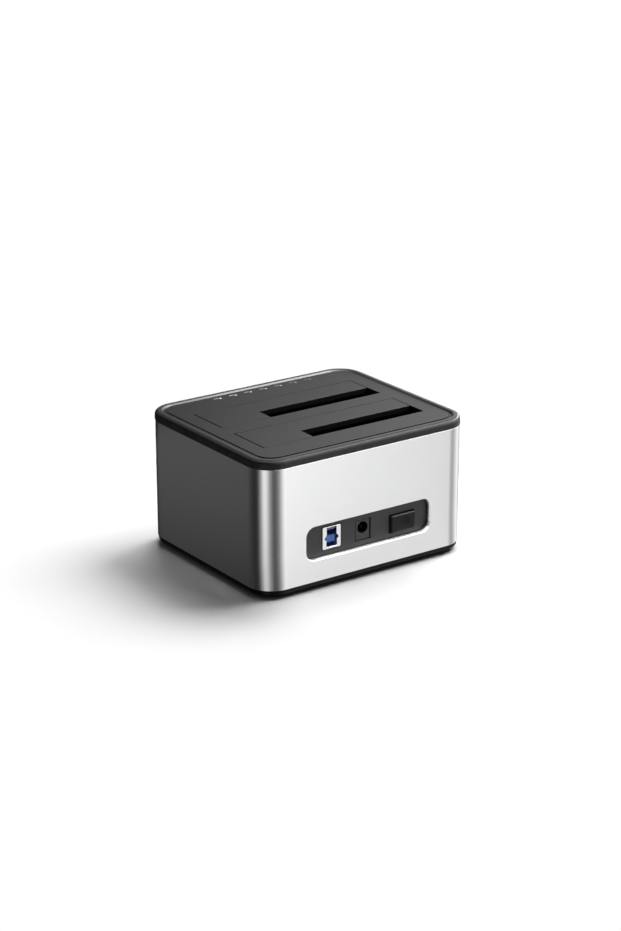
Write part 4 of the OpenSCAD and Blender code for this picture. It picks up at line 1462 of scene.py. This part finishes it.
@dataclass
class Studio:
    """Floor, light and camera."""

    sleeve: Sleeve
    cover: TopCover
    azimuth: float = 144.791
    elevation: float = 19.67
    distance: float = 1256.6
    target: Point = (-0.101, 3.143, 46.08)
    roll: float = -0.081
    lens: float = 90.007
    sensor: float = 36.0
    sky: float = 0.045
    # Name, direction, level that a white floor gets, and apparent size in degrees
    lights: tuple[tuple[str, Point, float, float], ...] = (
        ("key", (0.64, 0.0, -0.77), 0.585, 35.0),
        ("top", (0.45, 0.38, -0.83), 0.435, 35.0),
    )
    floor_tone: float = 0.95
    floor_size: float = 24000.0
    floor_gap: float = 0.2
    # Corner's side in x and y, facing of the sleeve in degrees, level, and its share at the sleeve's foot,
    # which is a painted shadow
    facings: tuple[Row, ...] = (
        (1, -1, -40, 0.020, 0.8), (1, -1, -26, 0.028, 0.8), (1, -1, -16, 0.045, 0.7), (1, -1, -8, 0.090, 0.5),
        (1, -1, 0, 0.098, 0.5), (1, 1, 0, 0.090, 0.37), (1, 1, 12, 0.040, 0.9),
        (1, 1, 20, 0.020, 1.0), (1, 1, 28, 0.030, 0.7), (1, 1, 34.5, 0.36, 0.5), (1, 1, 41, 1.10, 0.5),
        (1, 1, 46, 0.96, 0.6), (1, 1, 53, 0.34, 0.8), (1, 1, 60, 0.09, 0.9), (1, 1, 66, 0.09, 0.85),
        (1, 1, 72.5, 0.27, 0.75), (1, 1, 79, 0.74, 0.75), (1, 1, 85.5, 1.18, 0.78), (1, 1, 90, 1.04, 0.8),
        (-1, 1, 90, 0.815, 1.0), (-1, 1, 92.5, 0.79, 1.0), (-1, 1, 97, 0.44, 1.0), (-1, 1, 104, 0.38, 1.0),
        (-1, 1, 111, 0.74, 1.0), (-1, 1, 120, 1.08, 1.0), (-1, 1, 127, 0.85, 1.0), (-1, 1, 134, 0.40, 1.0),
        (-1, 1, 150, 0.30, 1.0),
    )
    # Distance from the sleeve, and weight that the painted shadow's share at its foot has there
    reaches: tuple[Span, ...] = ((0, 1.0), (60, 0.6), (130, 0.28), (260, 0.0), (600, 0.0))
    # Place in x and y, height, height where the level has faded, and level
    wall: tuple[Row, ...] = (
        (-330, -230, 205, 206, 0.92), (-215, -230, 205, 206, 0.58), (-175, -230, 205, 206, 0.34),
        (-130, -230, 200, 215, 0.36), (-100, -230, 190, 330, 0.32), (-65, -230, 170, 330, 0.16),
        (50, -230, 205, 330, 0.02), (450, -230, 419, 420, 0.02), (450, 250, 499, 500, 0.02),
        (200, 520, 499, 500, 0.02),
    )
    dark: float = 0.02
    box_middle: Point = (-400, 350, 470)
    box_half_w: float = 480.0
    box_half_h: float = 560.0
    box_strength: float = 3.4
    # Corner's side in x and y, facing of the rim in degrees, distance, and level
    bow: tuple[Row, ...] = (
        (1, -1, -45, 560, 14.0), (1, -1, -67, 560, 19.0), (1, -1, -90, 560, 13.5),
        (-1, -1, -90, 560, 12.5), (-1, -1, -113, 560, 9.0), (-1, -1, -135, 560, 5.0),
        (-1, -1, -157, 380, 2.0), (-1, -1, -180, 240, 1.2), (-1, 1, -180, 347, 1.2),
    )
    # Angles in degrees: between rows of the bow, of the rim's inner slope, and that the bow spans about it
    bow_step: float = 6.0
    slope: float = 53.1
    slope_play: float = 4.0

    def build(self) -> None:
        """Sets the scene up."""
        scene = bpy.context.scene
        scene.view_settings.view_transform = "Standard"
        self._camera(scene)
        self._world(scene)
        for light in self.lights:
            self._soft_light(scene, *light)
        self._floor()
        self._cards()

    def _back(self) -> Vector:
        """Direction from the dock to the camera."""
        turn, rise = math.radians(self.azimuth), math.radians(self.elevation)
        return Vector((math.sin(turn)*math.cos(rise), -math.cos(turn)*math.cos(rise), math.sin(rise)))

    def _camera(self, scene: bpy.types.Scene) -> None:
        """Stands the camera where the photograph was taken from.

        Args:
            scene: The scene.
        """
        back = self._back()
        data = bpy.data.cameras.new("camera")
        data.lens = self.lens
        data.sensor_width = self.sensor
        camera = bpy.data.objects.new("camera", data)
        camera.location = (Vector(self.target) + back*self.distance)*MM
        camera.rotation_mode = "QUATERNION"
        level = (-back).to_track_quat("-Z", "Y")
        camera.rotation_quaternion = level @ Quaternion((0, 0, 1), math.radians(self.roll))
        scene.collection.objects.link(camera)
        scene.camera = camera

    @staticmethod
    def _seen(graph: Graph) -> Signal:
        """1 for rays from the camera, from gloss and through clear things."""
        camera = graph.node("ShaderNodeLightPath", output="Is Camera Ray")
        return (camera + camera.beside("Is Glossy Ray") + camera.beside("Is Transmission Ray")) > 0.5

    def _world(self, scene: bpy.types.Scene) -> None:
        """Makes it white all round, and dimmer as a light.

        Args:
            scene: The scene.
        """
        world = bpy.data.worlds.new("studio")
        world.use_nodes = True
        graph = Graph(world.node_tree)
        strength = self.sky + self._seen(graph)*(1 - self.sky)
        light = graph.node("ShaderNodeBackground", {}, {"Color": (1.0, 1.0, 1.0), "Strength": strength})
        graph.node("ShaderNodeOutputWorld", {}, {"Surface": light})
        scene.world = world

    @staticmethod
    def _soft_light(scene: bpy.types.Scene, name: str, way: Point, share: float, size: float) -> None:
        """Adds a broad soft light.

        Args:
            scene: The scene.
            name: The light's name.
            way: Direction that it shines in.
            share: How bright a white floor becomes under it.
            size: Its apparent size, in degrees.
        """
        aim = Vector(way).normalized()
        data = bpy.data.lights.new(name, "SUN")
        data.energy = share*math.pi/-aim.z
        data.angle = math.radians(size)
        lamp = bpy.data.objects.new(name, data)
        lamp.rotation_mode = "QUATERNION"
        lamp.rotation_quaternion = aim.to_track_quat("-Z", "Y")
        lamp.location = -aim
        lamp.visible_glossy = False
        scene.collection.objects.link(lamp)

    def _floor(self) -> None:
        """Lays a white floor that keeps the shadow."""
        floor = Bench.sheet("floor", self.floor_size, -self.floor_gap)
        floor.data.materials.append(Paper(self.floor_tone).paint("floor_white"))

    def _cards(self) -> None:
        """Stands cards round the dock that only its gloss mirrors."""
        self._card("card_ring", self._ring(), Card())
        wall = [
            [(Vector((x, y, z)), level) for z, level in ((0, tone), (height, tone), (crest, self.dark))]
            for x, y, height, crest, tone in self.wall
        ]
        self._card("card_wall", wall, Card())
        self._card("card_bow", self._bow(), Card())
        self._card("soft_box", self._box(), Card(self.box_strength))

    def _outline(self, side_x: float, side_y: float, turn: float, height: float) -> Vector:
        """Finds a point over the sleeve's outline.

        Args:
            side_x: Side of the corner in x, -1 to 1.
            side_y: Side of the corner in y, -1 to 1.
            turn: Facing of the outline there, in radians.
            height: Height of the point.

        Returns:
            The point.
        """
        corner = self.sleeve.corner
        x = side_x*(self.sleeve.half_w - corner) + corner*math.cos(turn)
        y = side_y*(self.sleeve.half_d - corner) + corner*math.sin(turn)
        return Vector((x, y, height))

    def _ring(self) -> Lit:
        """Rows of the card on the floor, each where one facing of the sleeve mirrors it.

        Returns:
            Points and levels, from the sleeve outwards.
        """
        rows = []
        for side_x, side_y, facing, tone, foot in self.facings:
            start = self._outline(side_x, side_y, math.radians(facing), 0.0)
            glance = math.radians(2*facing - (self.azimuth - 90))
            way = Vector((math.cos(glance), math.sin(glance), 0))
            # The share at the foot darkens the card near the sleeve: a painted shadow, which the sleeve
            # mirrors in place of the dock's shadow on the floor
            rows.append([(start + reach*way, tone*(1 + share*(foot - 1))) for reach, share in self.reaches])
        return rows

    def _bow(self) -> Lit:
        """Rows of the bright card overhead, each where one facing of the rim's inner slope mirrors it.

        Returns:
            Points and levels.
        """
        rows = []
        for first, last in zip(self.bow, self.bow[1:]):
            steps = max(1, round(abs(last[2] - first[2])/self.bow_step))
            for k in range(steps + 1):
                side_x, side_y, facing, reach, level = (a + (b - a)*k/steps for a, b in zip(first, last))
                turn = math.radians(facing)
                foot = self._outline(side_x, side_y, turn, self.cover.high)
                rows.append([
                    (foot + reach*self._mirrored(turn, math.radians(self.slope + play)), level)
                    for play in (-self.slope_play, self.slope_play)
                ])
        return rows

    def _mirrored(self, turn: float, tilt: float) -> Vector:
        """Direction that the camera sees in a slope which falls towards the middle."""
        normal = Vector((-math.sin(tilt)*math.cos(turn), -math.sin(tilt)*math.sin(turn), math.cos(tilt)))
        return (-self._back()).reflect(normal)

    def _box(self) -> Lit:
        """Rows of the leaning card that faces the dock's top.

        Returns:
            Points and levels.
        """
        middle = Vector(self.box_middle)
        facing = (Vector((0, 0, self.cover.high)) - middle).to_track_quat("Z", "Y")
        across, up = facing @ Vector((self.box_half_w, 0, 0)), facing @ Vector((0, self.box_half_h, 0))
        return [[(middle + side*across + level*up, 1.0) for side in (-1, 1)] for level in (-1, 1)]

    @staticmethod
    def _card(name: str, rows: Lit, finish: Card) -> None:
        """Adds a card through rows of points, which only gloss sees.

        Args:
            name: The card's name.
            rows: Its points, with their levels.
            finish: Its finish.
        """
        card = Bench.sheet(name, 1.0, 0.0)
        shape = bmesh.new()
        layer = shape.verts.layers.float.new(finish.LEVEL)
        grid = []
        for row in rows:
            grid.append([shape.verts.new(point*MM) for point, _level in row])
            for vertex, (_point, level) in zip(grid[-1], row):
                vertex[layer] = level
        for first, second in zip(grid, grid[1:]):
            for k in range(len(first) - 1):
                shape.faces.new((first[k], first[k + 1], second[k + 1], second[k]))
        shape.to_mesh(card.data)
        shape.free()
        card.data.materials.append(finish.paint(name))
        for rays in ("camera", "diffuse", "shadow", "transmission"):
            setattr(card, f"visible_{rays}", False)


def main() -> None:
    """Builds the sub-assemblies in order."""
    logging.basicConfig(level=logging.INFO, format="%(message)s")
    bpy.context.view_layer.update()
    palette = Palette()
    sleeve, cover = Sleeve(), TopCover()
    Studio(sleeve, cover).build()
    assemblies = (
        sleeve, cover, TopPlate(), Flap(Bay.FRONT, hinge_y=-36.2), Flap(Bay.REAR, hinge_y=2.8),
        RearPanel(), DataSocket(), PowerSocket(), PowerButton(), Inside(),
    )
    for assembly in assemblies:
        assembly.build(palette)


if __name__ == "__main__":
    main()
